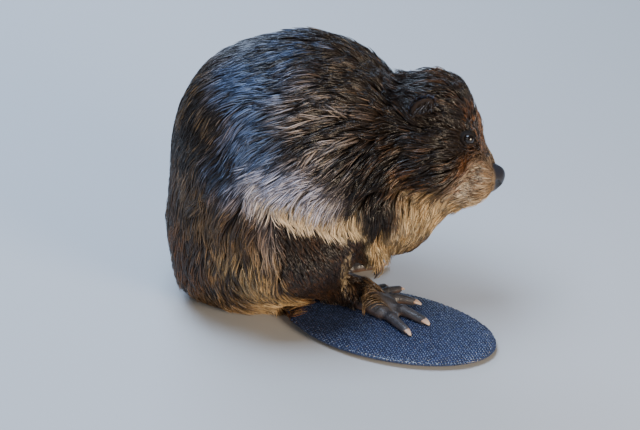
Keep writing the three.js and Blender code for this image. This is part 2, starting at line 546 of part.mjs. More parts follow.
for (const [name, cut] of Object.entries(nodes)) {
  const m = (/claw|eye|nose/.test(name) ? tidy(cut, 0.02) : tidy(cut, FOLD)).getMesh();
  const g = new THREE.BufferGeometry();
  g.setAttribute('position', new THREE.BufferAttribute(new Float32Array(m.vertProperties), 3));
  g.setIndex(new THREE.BufferAttribute(new Uint32Array(m.triVerts), 1));
  g.computeVertexNormals();
  const mesh = new THREE.Mesh(g, materialOf(name));
  mesh.name = name;
  beaver.add(mesh);
}
beaver.position.set(-CENTRE_X, -CENTRE_Y, 0);
export default beaver;
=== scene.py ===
import bpy, math
import numpy as np
from mathutils import Vector, Matrix
from mathutils.kdtree import KDTree

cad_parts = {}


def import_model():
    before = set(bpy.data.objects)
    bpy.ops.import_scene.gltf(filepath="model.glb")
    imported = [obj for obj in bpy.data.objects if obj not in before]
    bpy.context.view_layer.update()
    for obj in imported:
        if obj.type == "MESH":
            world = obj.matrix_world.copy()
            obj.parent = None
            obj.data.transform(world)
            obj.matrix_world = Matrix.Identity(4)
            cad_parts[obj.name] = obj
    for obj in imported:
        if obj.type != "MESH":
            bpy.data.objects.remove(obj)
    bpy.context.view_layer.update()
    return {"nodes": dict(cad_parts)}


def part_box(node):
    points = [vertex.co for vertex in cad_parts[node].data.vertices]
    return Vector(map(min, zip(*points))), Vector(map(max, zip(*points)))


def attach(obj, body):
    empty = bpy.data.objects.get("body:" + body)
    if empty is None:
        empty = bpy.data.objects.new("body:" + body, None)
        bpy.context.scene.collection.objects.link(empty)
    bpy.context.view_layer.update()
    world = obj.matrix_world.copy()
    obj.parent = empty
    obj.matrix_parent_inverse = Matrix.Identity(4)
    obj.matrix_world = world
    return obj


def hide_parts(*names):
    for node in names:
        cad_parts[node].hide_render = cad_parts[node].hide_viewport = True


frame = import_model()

rng = np.random.default_rng(20031)

# ============================================================================ the animal's field
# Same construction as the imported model: ellipsoids and round cones, in millimetres,
# X ahead, Y to the animal's left, Z up. Each has the coat's depth over it, so that the
# skin lies inside the solids by that depth.
OFF = np.array([-42.8, 18.5, 0.0])
MM = 0.001


def world(p):
    return (np.asarray(p, float) + OFF) * MM


def turn(yaw=0, pitch=0, roll=0):
    y, p, r = (math.radians(a) for a in (yaw, pitch, roll))
    Rz = np.array([[math.cos(y), -math.sin(y), 0], [math.sin(y), math.cos(y), 0], [0, 0, 1]])
    Ry = np.array([[math.cos(p), 0, math.sin(p)], [0, 1, 0], [-math.sin(p), 0, math.cos(p)]])
    Rx = np.array([[1, 0, 0], [0, math.cos(r), math.sin(r)], [0, -math.sin(r), math.cos(r)]])
    return Rz @ Ry @ Rx


def unit(v):
    v = np.asarray(v, float)
    return v / np.maximum(np.linalg.norm(v, axis=-1, keepdims=True), 1e-9)


HEAD_AT = np.array([251.0, -40.0, 195.0])
HEAD_R = turn(-12, 33, 10)
HS = 1.05


def hp(f, l, u):
    return HEAD_AT + HEAD_R @ (np.array([f, l, u], float) * HS)


def to_head(p):
    return ((np.asarray(p, float) - HEAD_AT) @ HEAD_R) / HS


PRIMS = []


def ell(group, at, radii, R=None, k=20, coat=0.0):
    PRIMS.append(dict(g=group, t="e", c=np.array(at, float), r=np.array(radii, float),
                      R=np.eye(3) if R is None else R, k=k, i=coat))


def cone(group, a, ra, b, rb, k=12, coat=0.0):
    PRIMS.append(dict(g=group, t="c", a=np.array(a, float), ra=ra, b=np.array(b, float), rb=rb, k=k, i=coat))


def hell(at, radii, R=None, k=20, coat=5.0, group="head"):
    ell(group, hp(*at), np.array(radii, float) * HS, HEAD_R @ (np.eye(3) if R is None else R), k, coat)


D = 13.0   # depth of the body's coat
ell("body", (-30, 2, 168), (128, 130, 172), None, 50, D)
ell("body", (-66, 2, 226), (84, 104, 108), None, 50, D)
ell("body", (8, 0, 232), (100, 110, 126), turn(0, 14), 60, D)
ell("body", (-76, 6, 100), (88, 104, 98), None, 50, D)
ell("body", (112, -6, 142), (60, 74, 76), turn(0, -20), 50, D)
cone("body", (62, 0, 232), 88, (142, -12, 222), 68, 50, 12)
cone("body", (120, -8, 150), 50, (186, -24, 160), 26, 30, 10)
for s in (-1, 1):
    ell("leg", (-8, s * 84, 132), (74, 54, 78), turn(0, -20), 34, 11)
cone("leg", (16, -98, 120), 44, (42, -60, 54), 17, 26, 6)
cone("leg", (-30, -92, 100), 36, (34, -58, 44), 15, 22, 5)
cone("leg", (6, 84, 110), 44, (0, 56, 28), 17, 26, 6)
cone("leg", (-40, 84, 90), 36, (-6, 52, 24), 15, 22, 5)
FORE = {"right": dict(wrist=(80, -56, 98), palm=(88, -52, 87), s=-1),
        "left": dict(wrist=(84, 46, 90), palm=(94, 42, 78), s=1)}
FINGERS = [(-12, 15, 4.4), (-6.5, 23, 5), (0, 26, 5.2), (6.5, 23, 5), (12, 17, 4.4)]
for P in FORE.values():
    s = P["s"]
    cone("arm", (70, s * 62, 170), 44, (50, s * 66, 120), 30, 30, 10)
    cone("arm", (50, s * 66, 118), 26, P["wrist"], 13.5, 14, 3)
    cone("paw", P["wrist"], 12.5, P["palm"], 12, 10, 0.6)
finger_tips = {"right": [], "left": []}
for name, P in FORE.items():
    down, ahead, out = unit([0.42, 0, -0.9]), unit([0.9, 0, 0.42]), np.array([0, P["s"], 0.0])
    for o, ln, r in FINGERS:
        base = np.array(P["palm"], float) + out * o * 0.7 + ahead * 2
        mid = base + down * ln * 0.46 + ahead * 4 + out * o * 0.2
        tip = base + down * ln * 0.86 + out * o * 0.3
        cone("paw", base, r + 0.6, mid, r - 0.3, 5, 0.3)
        cone("paw", mid, r, tip, r * 0.82, 2.5, 0.3)
        finger_tips[name].append((tip, unit(down - ahead * 0.7), ahead, r * 0.82))
HIND = {"right": dict(at=np.array([28, -50, 15.6]), turn=-23.4, s=-1),
        "left": dict(at=np.array([-32, 52, -1.6]), turn=4, s=1)}
HIND_TOES = [((46, -24), (54, -42), (60, -56), 6.5), ((58, -24), (70, -43), (79, -58), 7.2),
             ((66, -20), (87, -33), (106, -38.5), 8), ((76, -14), (104, -11), (133, -3.5), 8.5),
             ((68, -4), (97, 10), (122, 25), 8)]
toe_tips = {"right": [], "left": []}


def foot_frame(F):
    a = math.radians(F["turn"])
    along = np.array([math.cos(a), math.sin(a), 0])
    out = np.array([-math.sin(a) * F["s"], math.cos(a) * F["s"], 0])
    return along, out


for name, F in HIND.items():
    along, out = foot_frame(F)

    def W(a, o, z):
        return F["at"] + along * a + out * o + np.array([0, 0, z])
    c = 0.5
    cone("foot", W(4, -6, 13), 13, W(34, -12, 20), 14, 10, 2.5)
    cone("foot", W(24, -12, 21), 15, W(64, -11, 14), 11.5, 14, 1.2)
    cone("foot", W(58, -12, 14), 11, W(84, -16, 10), 9, 10, c)
    cone("foot", W(46, -16, 14), 11, W(68, -26, 10), 8.5, 10, c)
    cone("foot", W(50, -6, 13), 11, W(80, 4, 9.5), 9, 10, c)
    for i, (b, m, t, r) in enumerate(HIND_TOES):
        cone("foot", W(*b, 9), r, W(*m, 9), r * 0.80, 6, c)
        cone("foot", W(*m, 9.4), r * 0.88, W(*t, 6.5), r * 0.7, 2.5, c)
        if i < 4:
            b2, m2 = HIND_TOES[i + 1][0], HIND_TOES[i + 1][1]
            mid = lambda p, q: ((p[0] + q[0]) / 2, (p[1] + q[1]) / 2)
            cone("foot", W(*mid(b, b2), 7), 4, W(*mid(m, m2), 5), 3.0, 5, c)
        toe_tips[name].append((W(*t, 6.5), unit(W(*t, 4.0) - W(*m, 9)), np.array([0, 0, 1.0]), r * 0.7))
# head, with its skin-deep shapes
hell((-101.5, 0, 2), (58, 54, 49), None, 30, 6)
hell((-114, 0, 36), (36, 36, 32), None, 26, 13)
hell((-55, 0, -10), (46, 36, 29), turn(0, 7), 24, 5.2)
hell((-64, 0, -34), (46, 38, 26), turn(0, -4), 20, 5.5)
hell((-27.5, 0, -37), (26, 22, 18), None, 16, 4)
for s in (-1, 1):
    hell((-86, s * 36, -16), (36, 26, 36), None, 20, 6.5)
    hell((-20, s * 13, -17), (20, 18, 21), None, 12, 4.0)
    hell((-72, s * 26, 22), (17, 13, 10), None, 12, 3.0)
hell((-9, 0, -12), (13.5, 18, 18), turn(0, 10), 8.5, 0.5)          # nose pad


def d_prim(q, p):
    if p["t"] == "e":
        v = (q - p["c"]) @ p["R"]
        r = p["r"]
        k0 = np.sqrt(((v / r) ** 2).sum(-1))
        k1 = np.sqrt(((v / (r * r)) ** 2).sum(-1))
        return k0 * (k0 - 1) / np.maximum(k1, 1e-9) + p["i"]
    qa, ba = q - p["a"], p["b"] - p["a"]
    h = np.clip(qa @ ba / (ba @ ba), 0, 1)
    return np.sqrt(((qa - h[:, None] * ba) ** 2).sum(-1)) - (p["ra"] + (p["rb"] - p["ra"]) * h) + p["i"]


def smin(a, b, k):
    h = np.maximum(k - np.abs(a - b), 0) / k
    return np.minimum(a, b) - h * h * k * 0.25


def smax(a, b, k):
    return -smin(-a, -b, k)


# the tail: a furred root out of the rump, and the flat blade
TAIL_ROOT, TAIL_TURN = np.array([-15.0, -33.0, 0.0]), -24.3
TAIL_HL, TAIL_HW, TAIL_MID, TAIL_CORE, TAIL_RISE = 140.0, 76.0, 139.0, 7.0, 10.5
TAIL_R = turn(TAIL_TURN)
TAIL_C = TAIL_ROOT + TAIL_R[:, 0] * TAIL_MID + np.array([0, 0, TAIL_CORE])
ROOT_PRIMS = [dict(t="c", a=np.array([-108.0, 0, 44]), ra=52, b=np.array([-62.0, -14, 30]), rb=36, k=30, i=11),
              dict(t="c", a=np.array([-62.0, -14, 30]), ra=36, b=np.array([-2.0, -38, 12]), rb=16, k=26, i=5)]


def to_tail(q):
    return (q - TAIL_C) @ TAIL_R


def d_blade(q):
    v = to_tail(q)
    x = v[:, 0] / TAIL_HL
    hw = TAIL_HW * (1 - 0.10 * np.maximum(0, -x) ** 2)
    # a low ridge along the middle, and a thin rounded rim
    rise = TAIL_RISE * (0.93 + 0.07 * np.exp(-(v[:, 1] / 16) ** 2))
    k0 = np.sqrt(x ** 2 + (v[:, 1] / hw) ** 2 + (v[:, 2] / rise) ** 2)
    k1 = np.sqrt((x / TAIL_HL) ** 2 + (v[:, 1] / hw ** 2) ** 2 + (v[:, 2] / rise ** 2) ** 2)
    return k0 * (k0 - 1) / np.maximum(k1, 1e-9) + 0.25


# eyes and ears, seated on the head
EYE_R = 7.2
EAR_SIZE = np.array([5.5, 16.0, 19.0])
EARS = {"right": dict(root=(-128.6, 19.5), stands=(-0.35, 0.55, 0.75), faces=(0.55, 0.85, 0)),
        "left": dict(root=(-128, 9), stands=(-0.55, 0.8, -0.22), faces=(0.4, 0.7, 0.5))}


def coat_head(q):
    """the head and neck out to the tips of the coat"""
    d = None
    for p in PRIMS:
        if p["g"] not in ("body", "head"):
            continue
        x = d_prim(q, p) - p["i"]
        d = x if d is None else smin(d, x, p["k"])
    return d


def seat(f, u, s, depth):
    l = np.arange(70, 5, -0.25)
    d = coat_head(np.array([hp(f, s * a, u) for a in l]))
    i = int(np.argmax(d <= 0))
    return hp(f, s * (l[i] - depth / HS), u)


PRIMS_HEAD_NOSE = PRIMS.pop()      # the seats are measured without the nose pad
EYES = {"right": seat(-66, 25.5, -1, 4.6), "left": seat(-66, 25.5, 1, 4.6)}
EAR_FRAME = {}
for name, s in (("right", -1), ("left", 1)):
    E = EARS[name]
    comb = lambda v: unit(HEAD_R @ np.array([v[0], v[1] * s, v[2]]))
    long, face = comb(E["stands"]), comb(E["faces"])
    opened = unit(face - long * (face @ long))
    wide = np.cross(long, opened)
    EAR_FRAME[name] = (seat(*E["root"], s, 2) + long * EAR_SIZE[2] * 0.8, np.stack([opened, wide, long], 1))
PRIMS.append(PRIMS_HEAD_NOSE)


def lens(q, c, R, r):
    v = (q - c) @ R
    k0 = np.sqrt(((v / r) ** 2).sum(-1))
    k1 = np.sqrt(((v / (r * r)) ** 2).sum(-1))
    return k0 * (k0 - 1) / np.maximum(k1, 1e-9)


def tube(q, pts, radii):
    d = None
    for (a, b, ra, rb) in zip(pts[:-1], pts[1:], radii[:-1], radii[1:]):
        qa, ba = q - a, b - a
        h = np.clip(qa @ ba / (ba @ ba), 0, 1)
        x = np.sqrt(((qa - h[:, None] * ba) ** 2).sum(-1)) - (ra + (rb - ra) * h)
        d = x if d is None else np.minimum(d, x)
    return d


def near(q, c, r):
    return np.linalg.norm(q - c, axis=1) < r


def features(q, d, fine=True):
    """ears, lids, nostrils and mouth, worked into the field d"""
    d = d.copy()
    for name, s in (("right", -1), ("left", 1)):
        c, R = EAR_FRAME[name]
        m = near(q, c, 40)
        if m.any():
            x = q[m]
            flap = lens(x, c, R, EAR_SIZE - 0.8)
            cup = lens(x, c + R @ np.array([EAR_SIZE[0] * 1.1, 0, 2.0]), R,
                       np.array([EAR_SIZE[0] * 1.15, EAR_SIZE[1] * 0.80, EAR_SIZE[2] * 0.80]))
            flap = smax(flap, -cup, 2.0)
            d[m] = smin(d[m], flap, 5.0)
            canal = lens(x, c + R @ np.array([1.5, 0, -8.0]), R, np.array([6.0, 4.0, 7.0]))
            d[m] = smax(d[m], -canal, 3.0)
        c = EYES[name]
        m = near(q, c, 34)
        if m.any():
            x = q[m]
            R = HEAD_R @ turn(0, -8)
            side = HEAD_R @ np.array([0.12, s, 0.18])
            # the lids swell over the ball, and open in an almond
            ring = np.linalg.norm(x - c, axis=1) - (EYE_R + 1.15)
            dd = smin(d[m], ring, 6.0)
            crease = np.linalg.norm(x - (c - side * 1.0), axis=1) - (EYE_R + 4.2)
            dd = dd + 0.9 * np.exp(-(crease / 1.1) ** 2)
            almond = lens(x, c + side * 6.0, R, np.array([6.8, 9.0, 5.4]))
            corner = lens(x, c + side * 5.0 + HEAD_R @ np.array([6.6, 0, -1.2]), R, np.array([3.0, 4.0, 1.0]))
            dd = smax(dd, -almond, 0.8)
            d[m] = smax(dd, -corner, 0.8)
    m = near(q, hp(-20, 0, -18), 64)
    if m.any():
        x = q[m]
        dd = d[m]
        for s in (-1, 1):
            nostril = tube(x, [hp(4.4, s * 5.4, -15.0), hp(1.4, s * 10.6, -10.5), hp(-5.0, s * 16.2, -6.0)], [2.2, 4.6, 2.4])
            dd = smax(dd, -nostril, .9)
            wing = tube(x, [hp(-3.0, s * 14.8, -15.5), hp(-10.5, s * 17.2, -11)], [1.3, 0.8])
            dd = smin(dd, wing, 3.5)
            lip = tube(x, [hp(-3, s * 1.0, -30), hp(-9, s * 12, -36.5), hp(-24, s * 22, -38), hp(-38, s * 30, -34), hp(-51, s * 34, -29)],
                       [1.6, 1.7, 1.7, 1.5, 0.7])
            dd = smax(dd, -lip, 2.4)
        cleft = tube(x, [hp(5.0, 0, -8), hp(4.6, 0, -15), hp(2.2, 0, -22), hp(-3, 0, -30)], [.9, 1.5, 1.7, 1.7])
        dd = smax(dd, -cleft, 1.6)
        d[m] = dd
    return d


def chain(q, prims):
    d = None
    for p in prims:
        x = d_prim(q, p)
        d = x if d is None else smin(d, x, p["k"])
    return d


def root_chain(q):
    a = d_prim(q, ROOT_PRIMS[0])
    a = smin(a, d_prim(q, ROOT_PRIMS[1]), ROOT_PRIMS[1]["k"])
    b = d_blade(q)
    return smin(a, b, 9.0)


def skin_field(q, prims=None):
    A = chain(q, PRIMS if prims is None else prims)
    B = root_chain(q)
    # the root grows out of the rump; farther on, the foot only rests on the tail
    k = 1.4 + 24.0 * np.clip((-20 - q[:, 0]) / 50, 0, 1)
    d = smin(A, B, k)
    d = features(q, d)
    return np.maximum(d, 0.15 - q[:, 2])


def field_on(q, f=skin_field, block=26.0):
    """the field at many points, block by block, with only the shapes that matter in each"""
    q = np.asarray(q, float)
    out = np.empty(len(q))
    key = np.floor(q / block).astype(np.int64)
    code = (key[:, 0] + 500) * 1000000 + (key[:, 1] + 500) * 1000 + (key[:, 2] + 500)
    order = np.argsort(code, kind="stable")
    cuts = np.flatnonzero(np.diff(code[order])) + 1
    for idx in np.split(order, cuts):
        x = q[idx]
        c = x.mean(0)[None]
        rad = float(np.linalg.norm(x - c, axis=1).max()) + 0.1
        dc = np.array([d_prim(c, p)[0] for p in PRIMS])
        # an ellipsoid's distance is only an estimate, so the margin is wide
        best = dc.min()
        use = [p for p, v in zip(PRIMS, dc) if v < best + 3.2 * rad + p["k"] * 1.15 + 6]
        out[idx] = f(x, use)
    return out


# ============================================================================ field to mesh
def axis_of(stops):
    """grid lines from stops [(end, step), ...] starting at the first"""
    g = [stops[0][0]]
    for end, step in stops[1:]:
        n = max(1, int(round((end - g[-1]) / step)))
        g += list(np.linspace(g[-1], end, n + 1)[1:])
    return np.array(g)


def trilinear(C, origin, step, q):
    """values of the grid C (..., channels) at points q"""
    u = (q - origin) / step
    n = np.array(C.shape[:3])
    i = np.clip(np.floor(u).astype(np.int64), 0, n - 2)
    t = np.clip(u - i, 0, 1).astype(np.float32)
    out = 0
    for a in (0, 1):
        for b in (0, 1):
            for c in (0, 1):
                w = (t[:, 0] if a else 1 - t[:, 0]) * (t[:, 1] if b else 1 - t[:, 1]) * (t[:, 2] if c else 1 - t[:, 2])
                out = out + C[i[:, 0] + a, i[:, 1] + b, i[:, 2] + c] * w[:, None]
    return out


# a coarse grid of the smooth field, and of its slope, for everything that grows on the skin
CO, CS = np.array([-200.0, -210.0, -22.0]), 5.0
CN = (96, 76, 86)
CX = [CO[t] + CS * np.arange(CN[t]) for t in range(3)]


def smooth_field(q, prims):
    A = chain(q, prims)
    B = root_chain(q)
    k = 1.4 + 24.0 * np.clip((-20 - q[:, 0]) / 50, 0, 1)
    return np.maximum(smin(A, B, k), -q[:, 2])


_x = np.meshgrid(*CX, indexing="ij")
CD = field_on(np.stack([a.ravel() for a in _x], -1), smooth_field, block=50.0).reshape(CN).astype(np.float32)
CG = np.stack([CD] + list(np.gradient(CD, CS)), -1).astype(np.float32)


def near_skin(q):
    """distance from the skin, without the ears, and its outward direction"""
    v = trilinear(CG, CO, CS, q)
    return v[:, 0].astype(float), unit(v[:, 1:].astype(float))


def grid_field(ax):
    """the field on the mesh's grid: exact near the surface, only roughly known elsewhere"""
    C = CD
    for t in range(3):                       # the coarse field, spread over the fine grid
        u = np.clip((ax[t] - CX[t][0]) / CS, 0, CN[t] - 1.001)
        i = np.floor(u).astype(int)
        w = (u - i).astype(np.float32).reshape([-1 if a == t else 1 for a in range(3)])
        C = np.take(C, i, axis=t) * (1 - w) + np.take(C, i + 1, axis=t) * w
    tol = np.full(C.shape, 5.0, np.float32)
    z = ax[2][None, None, :]
    tol = np.where(z < 75, 7.5, tol)
    want = np.abs(C) < tol
    for name in ("right", "left"):
        for c, r in ((EAR_FRAME[name][0], 25.0), (EYES[name], 18.0)):
            s = tuple(slice(int(np.searchsorted(ax[t], c[t] - r)), int(np.searchsorted(ax[t], c[t] + r))) for t in range(3))
            want[s] = True
    c = hp(-12, 0, -16)
    s = tuple(slice(int(np.searchsorted(ax[t], c[t] - 30)), int(np.searchsorted(ax[t], c[t] + 30))) for t in range(3))
    want[s] |= np.abs(C[s]) < 9
    I = np.argwhere(want)
    q = np.stack([ax[t][I[:, t]] for t in range(3)], -1)
    G = C.copy()
    G[I[:, 0], I[:, 1], I[:, 2]] = field_on(q, block=34.0)
    return G


def nets(G, ax):
    """one closed surface at the field's zero level, a vertex in each cell that it crosses"""
    n = np.array(G.shape)
    S = G < 0
    tot = np.zeros(n - 1, np.int8)
    for i in (0, 1):
        for j in (0, 1):
            for k in (0, 1):
                tot += S[i:n[0] - 1 + i, j:n[1] - 1 + j, k:n[2] - 1 + k]
    mixed = (tot > 0) & (tot < 8)
    idx = -np.ones(mixed.shape, np.int64)
    cells = np.argwhere(mixed)
    idx[mixed] = np.arange(len(cells))
    corners = [(i, j, k) for i in (0, 1) for j in (0, 1) for k in (0, 1)]
    val = np.stack([G[cells[:, 0] + a, cells[:, 1] + b, cells[:, 2] + c] for a, b, c in corners], 1).astype(float)
    acc = np.zeros((len(cells), 3)); cnt = np.zeros(len(cells))
    for a in range(8):
        for b in range(a + 1, 8):
            ca, cb = corners[a], corners[b]
            if sum(abs(ca[t] - cb[t]) for t in range(3)) != 1:
                continue
            ga, gb = val[:, a], val[:, b]
            m = (ga < 0) != (gb < 0)
            t = np.where(m, ga / np.where(m, ga - gb, 1), 0)
            pa = np.array(ca, float); pb = np.array(cb, float)
            acc[m] += pa + (pb - pa) * t[m][:, None]; cnt[m] += 1
    loc = acc / cnt[:, None]
    V = np.empty((len(cells), 3)); N = np.empty((len(cells), 3))
    for t in range(3):
        A = ax[t]; i0 = cells[:, t]
        h = A[i0 + 1] - A[i0]
        V[:, t] = A[i0] + h * loc[:, t]
        up = [i for i, c in enumerate(corners) if c[t]]; dn = [i for i, c in enumerate(corners) if not c[t]]
        N[:, t] = (val[:, up].mean(1) - val[:, dn].mean(1)) / h
    F = []
    for t in range(3):
        s0 = [slice(None)] * 3; s1 = [slice(None)] * 3
        s0[t] = slice(0, n[t] - 1); s1[t] = slice(1, n[t])
        A = S[tuple(s0)]; B = S[tuple(s1)]
        u, v = (t + 1) % 3, (t + 2) % 3
        e = np.argwhere(A != B)
        sgn = A[e[:, 0], e[:, 1], e[:, 2]]

        def at(du, dv):
            w = e.copy(); w[:, u] -= du; w[:, v] -= dv
            return idx[w[:, 0], w[:, 1], w[:, 2]]
        q = np.stack([at(1, 1), at(0, 1), at(0, 0), at(1, 0)], -1)
        q[~sgn] = q[~sgn][:, ::-1]
        F.append(q)
    return V, np.concatenate(F), N


C_ = 1.0
AX = [axis_of([(-178, 1), (56, 3.4 * C_), (262, 1.7 * C_)]),
      axis_of([(-186, 1), (-110, 2.6 * C_), (22, 1.9 * C_), (152, 3.0 * C_)]),
      axis_of([(-4, 1), (32, 1.6 * C_), (120, 3.0 * C_), (140, 2.4 * C_), (325, 1.8 * C_), (372, 3.2 * C_)])]
SV, SF, SG = nets(grid_field(AX), AX)
d0 = field_on(SV, block=34.0)
SV = SV - SG * np.clip(d0 / np.maximum((SG ** 2).sum(1), 0.3), -0.8, 0.8)[:, None]
SV[:, 2] = np.maximum(SV[:, 2], 0.1)

# ============================================================================ coat: lie, length and colour by region
UMBER = np.array([.022, .014, .010]); SABLE = np.array([.048, .029, .019]); CHESTNUT = np.array([.110, .052, .024])
RUST = np.array([.27, .105, .034]); GOLDEN = np.array([.25, .142, .058]); TAN = np.array([.34, .215, .120])
GOLD = np.array([.50, .32, .135]); CREAM = np.array([.70, .53, .31]); PALE = np.array([.80, .70, .55])
MUZZLE = np.array([.44, .28, .19]); STEEL = np.array([.110, .160, .275]); SAND = np.array([.43, .33, .27]); MAUVE = np.array([.60, .57, .66]); ASH = np.array([.17, .15, .16])
REG = []


def unsheened(c, s):
    """the blue-grey sheen belongs to the right side and the middle; the left side has the same fur in plain grey brown"""
    if s <= 0 or c[2] < c[0] * 1.02:
        return c * (1.1 if s < 0 and c.mean() > .5 and c[2] > c[0] else 1)
    return c * .25 + c.mean() * np.array([1.08, .97, .86]) * (.62 if c.mean() < .3 else .45)


def region(at, way, L, W, H, K, N, dark, light, share, size=46.0, head=False):
    """at, way: place and lie of the hair; L length, W width, H height of the tips; K how far the hairs
    gather into wet points; N tufts to the square centimetre; then root and tip colours, and the share of light tufts"""
    for s in ((-1, 1) if abs(at[1]) > 0.5 else (0,)):
        p, w = (np.array([at[0], at[1] * s, at[2]], float), unit(np.array([way[0], way[1] * s, way[2]], float)))
        if head:
            p, w = hp(*p), HEAD_R @ w
        if not head and L > 15:
            L_, W_b = L * 1.32, W * .90
        else:
            L_, W_b = L * 1.12, W
        REG.append(dict(p=p, w=w, s=size, v=np.r_[L_, W_b, H, K, N, unsheened(dark, s), unsheened(light, s), share]))


# body: at, way (y is outward from the middle line)
region((165, 30, 275), (-1, .05, .02), 36, 2.2, 15, .78, 15, UMBER * .8, CHESTNUT, .24)          # nape
region((168, 0, 290), (-1, 0, .05), 34, 2.2, 14, .74, 15, UMBER * .8, CHESTNUT, .24)
region((150, 75, 225), (-1, .05, -.22), 30, 2.2, 14, .76, 15, UMBER * .8, RUST, .26)             # side of the neck
region((110, 90, 245), (-1, .05, -.14), 36, 2.3, 15, .90, 15, UMBER * .5, CHESTNUT * .8, .22)         # shoulder
region((105, 98, 200), (-.90, .05, -.42), 34, 2.3, 13, .86, 15, UMBER * .5, CHESTNUT * .8, .24)
region((104, 92, 172), (-.20, 0, -.98), 30, 2.2, 11, .72, 15, UMBER * .6, CHESTNUT, .26, size=34)
region((92, 80, 132), (-.10, 0, -1), 28, 2.0, 10, .62, 16, GOLD, CREAM * 1.1, .70, size=46)
region((80, 32, 332), (-1, .10, .02), 40, 2.3, 14, .84, 15, UMBER * .8, TAN, .14)                # withers
region((40, 0, 347), (-1, 0, .02), 40, 2.3, 12, .72, 15, UMBER, STEEL, .35)
region((40, 90, 290), (-.98, .12, -.16), 40, 2.3, 12, .84, 15, UMBER, SAND, .36)            # upper side
region((66, 98, 258), (-1, .08, -.12), 40, 2.3, 15, .92, 15, UMBER * .7, SAND, .34, size=36)
region((-30, 50, 335), (-1, .16, -.12), 38, 2.4, 9, .56, 15, UMBER, STEEL, .62)             # back
region((-25, 100, 282), (-.93, .16, -.30), 40, 2.3, 8, .58, 15, UMBER, STEEL, .78)
region((35, 128, 230), (-.94, .05, -.34), 40, 2.2, 12, .78, 15, SABLE, MAUVE * 1.1, .80)           # side
region((-25, 128, 228), (-.80, .05, -.58), 38, 2.2, 10, .62, 15, STEEL, MAUVE * 1.1, .78)
region((-60, 120, 190), (-.42, 0, -.90), 38, 2.4, 12, .76, 15, SABLE, GOLDEN, .55)
region((50, 138, 205), (-.60, 0, -.80), 34, 1.9, 8, .36, 16, ASH * 1.6, MAUVE * 1.2, .88)
region((0, 145, 198), (-.34, 0, -.94), 34, 1.9, 8, .36, 16, ASH * 1.6, MAUVE * 1.2, .86)
region((-100, 70, 275), (-.62, .08, -.78), 36, 2.3, 8, .52, 15, UMBER, GOLDEN, .26)         # hind back
region((-72, 98, 262), (-.60, .08, -.79), 38, 2.3, 9, .58, 15, UMBER, STEEL, .42, size=44)
region((-110, 0, 290), (-.66, 0, -.75), 36, 2.4, 8, .50, 15, UMBER, GOLDEN, .30)
region((-158, 0, 190), (-.05, 0, -1), 34, 2.4, 8, .50, 15, SABLE, CHESTNUT, .45)            # rump
region((-120, 90, 200), (-.24, 0, -.97), 36, 2.4, 9, .60, 15, SABLE, GOLDEN, .48)
region((-138, 55, 100), (-.22, .1, -1), 36, 2.4, 15, .84, 15, SABLE, RUST, .42)
region((-152, 0, 95), (-.10, 0, -1), 30, 2.4, 11, .66, 15, SABLE, GOLDEN, .42)
region((-105, 85, 65), (.10, .1, -1), 28, 2.4, 12, .76, 15, SABLE, GOLDEN, .50)
region((-62, 122, 125), (.02, 0, -1), 34, 2.4, 13, .80, 15, SABLE, GOLD, .60)               # haunch
region((-48, 118, 75), (.48, 0, -.88), 32, 2.4, 12, .72, 15, SABLE, GOLD, .58)
region((-60, 85, 38), (.92, .1, -.35), 32, 2.2, 11, .74, 15, GOLDEN, CREAM, .55, size=36)
region((-20, 75, 28), (1, .1, -.1), 26, 2.0, 8, .70, 15, RUST, GOLD, .55, size=26)
region((168, 8, 125), (-.5, 0, -.85), 26, 2.2, 9, .5, 13, SABLE, CHESTNUT, .40)             # chest
region((95, 8, 78), (-.8, 0, -.4), 22, 2.2, 9, .5, 12, SABLE, CHESTNUT, .30)
region((185, 22, 150), (-.80, 0, -.60), 32, 2.1, 9, .70, 15, GOLD, CREAM * 1.2, .62)              # throat
region((152, 55, 170), (-.64, 0, -.77), 38, 2.1, 11, .74, 15, GOLD, CREAM * 1.2, .66, size=34)
region((121, 76, 165), (-.05, 0, -1), 28, 2.0, 11, .74, 15, TAN, PALE, .75, size=15)        # pale edge of the ruff
region((78, 94, 168), (-.08, 0, -1), 24, 2.1, 8, .6, 14, UMBER, CHESTNUT, .30, size=32)     # upper arm
region((64, 70, 112), (.35, 0, -.93), 9, 1.5, 2.5, .3, 18, UMBER * .7, UMBER, .30, size=26)       # forearm
region((-50, 12, 52), (.90, -.25, -.25), 26, 2.2, 9, .66, 15, GOLDEN, GOLD, .50)            # towards the tail
region((-30, 0, 34), (.93, -.38, -.1), 24, 2.0, 6, .66, 15, RUST, GOLDEN, .50, size=30)
# head: places and lies in its own frame (ahead, outward, up)
region((-27, 0, 16), (-1, 0, .3), 4.0, .85, 1.4, .15, 60, UMBER, CHESTNUT, .40, 15, True)     # bridge of the nose
region((-30, 27, -6), (-1, .35, -.22), 8, .85, 2.8, .62, 54, MUZZLE * .8, PALE * .85, .50, 13, True)  # side of the muzzle
region((-26, 27, -28), (-.9, .3, -.55), 11, .95, 3.6, .66, 46, MUZZLE, PALE * 1.1, .66, 16, True)
region((-31, 0, -56), (-.75, 0, -.68), 15, 1.2, 8, .66, 26, TAN, CREAM, .58, 18, True)       # chin
region((-75, 30, -58), (-.95, 0, -.42), 18, 1.4, 6, .6, 22, GOLDEN, CREAM * 1.1, .58, 22, True)   # jaw
region((-53, 34, 2), (-.85, .25, -.5), 7, 1.0, 3.0, .35, 42, CHESTNUT, RUST, .62, 12, True)  # below the eye
region((-66, 38, 14), (-1, .15, -.10), 5, .9, 1.6, .15, 55, UMBER, UMBER * 1.3, .35, 14, True)
region((-66, 36, 33), (-1, .1, .3), 6, 1.0, 2.0, .2, 48, UMBER, SABLE, .40, 14, True)
region((-72, 16, 34), (-1, .08, .3), 10, 1.1, 4.0, .35, 34, UMBER, RUST, .42, 18, True)     # brow
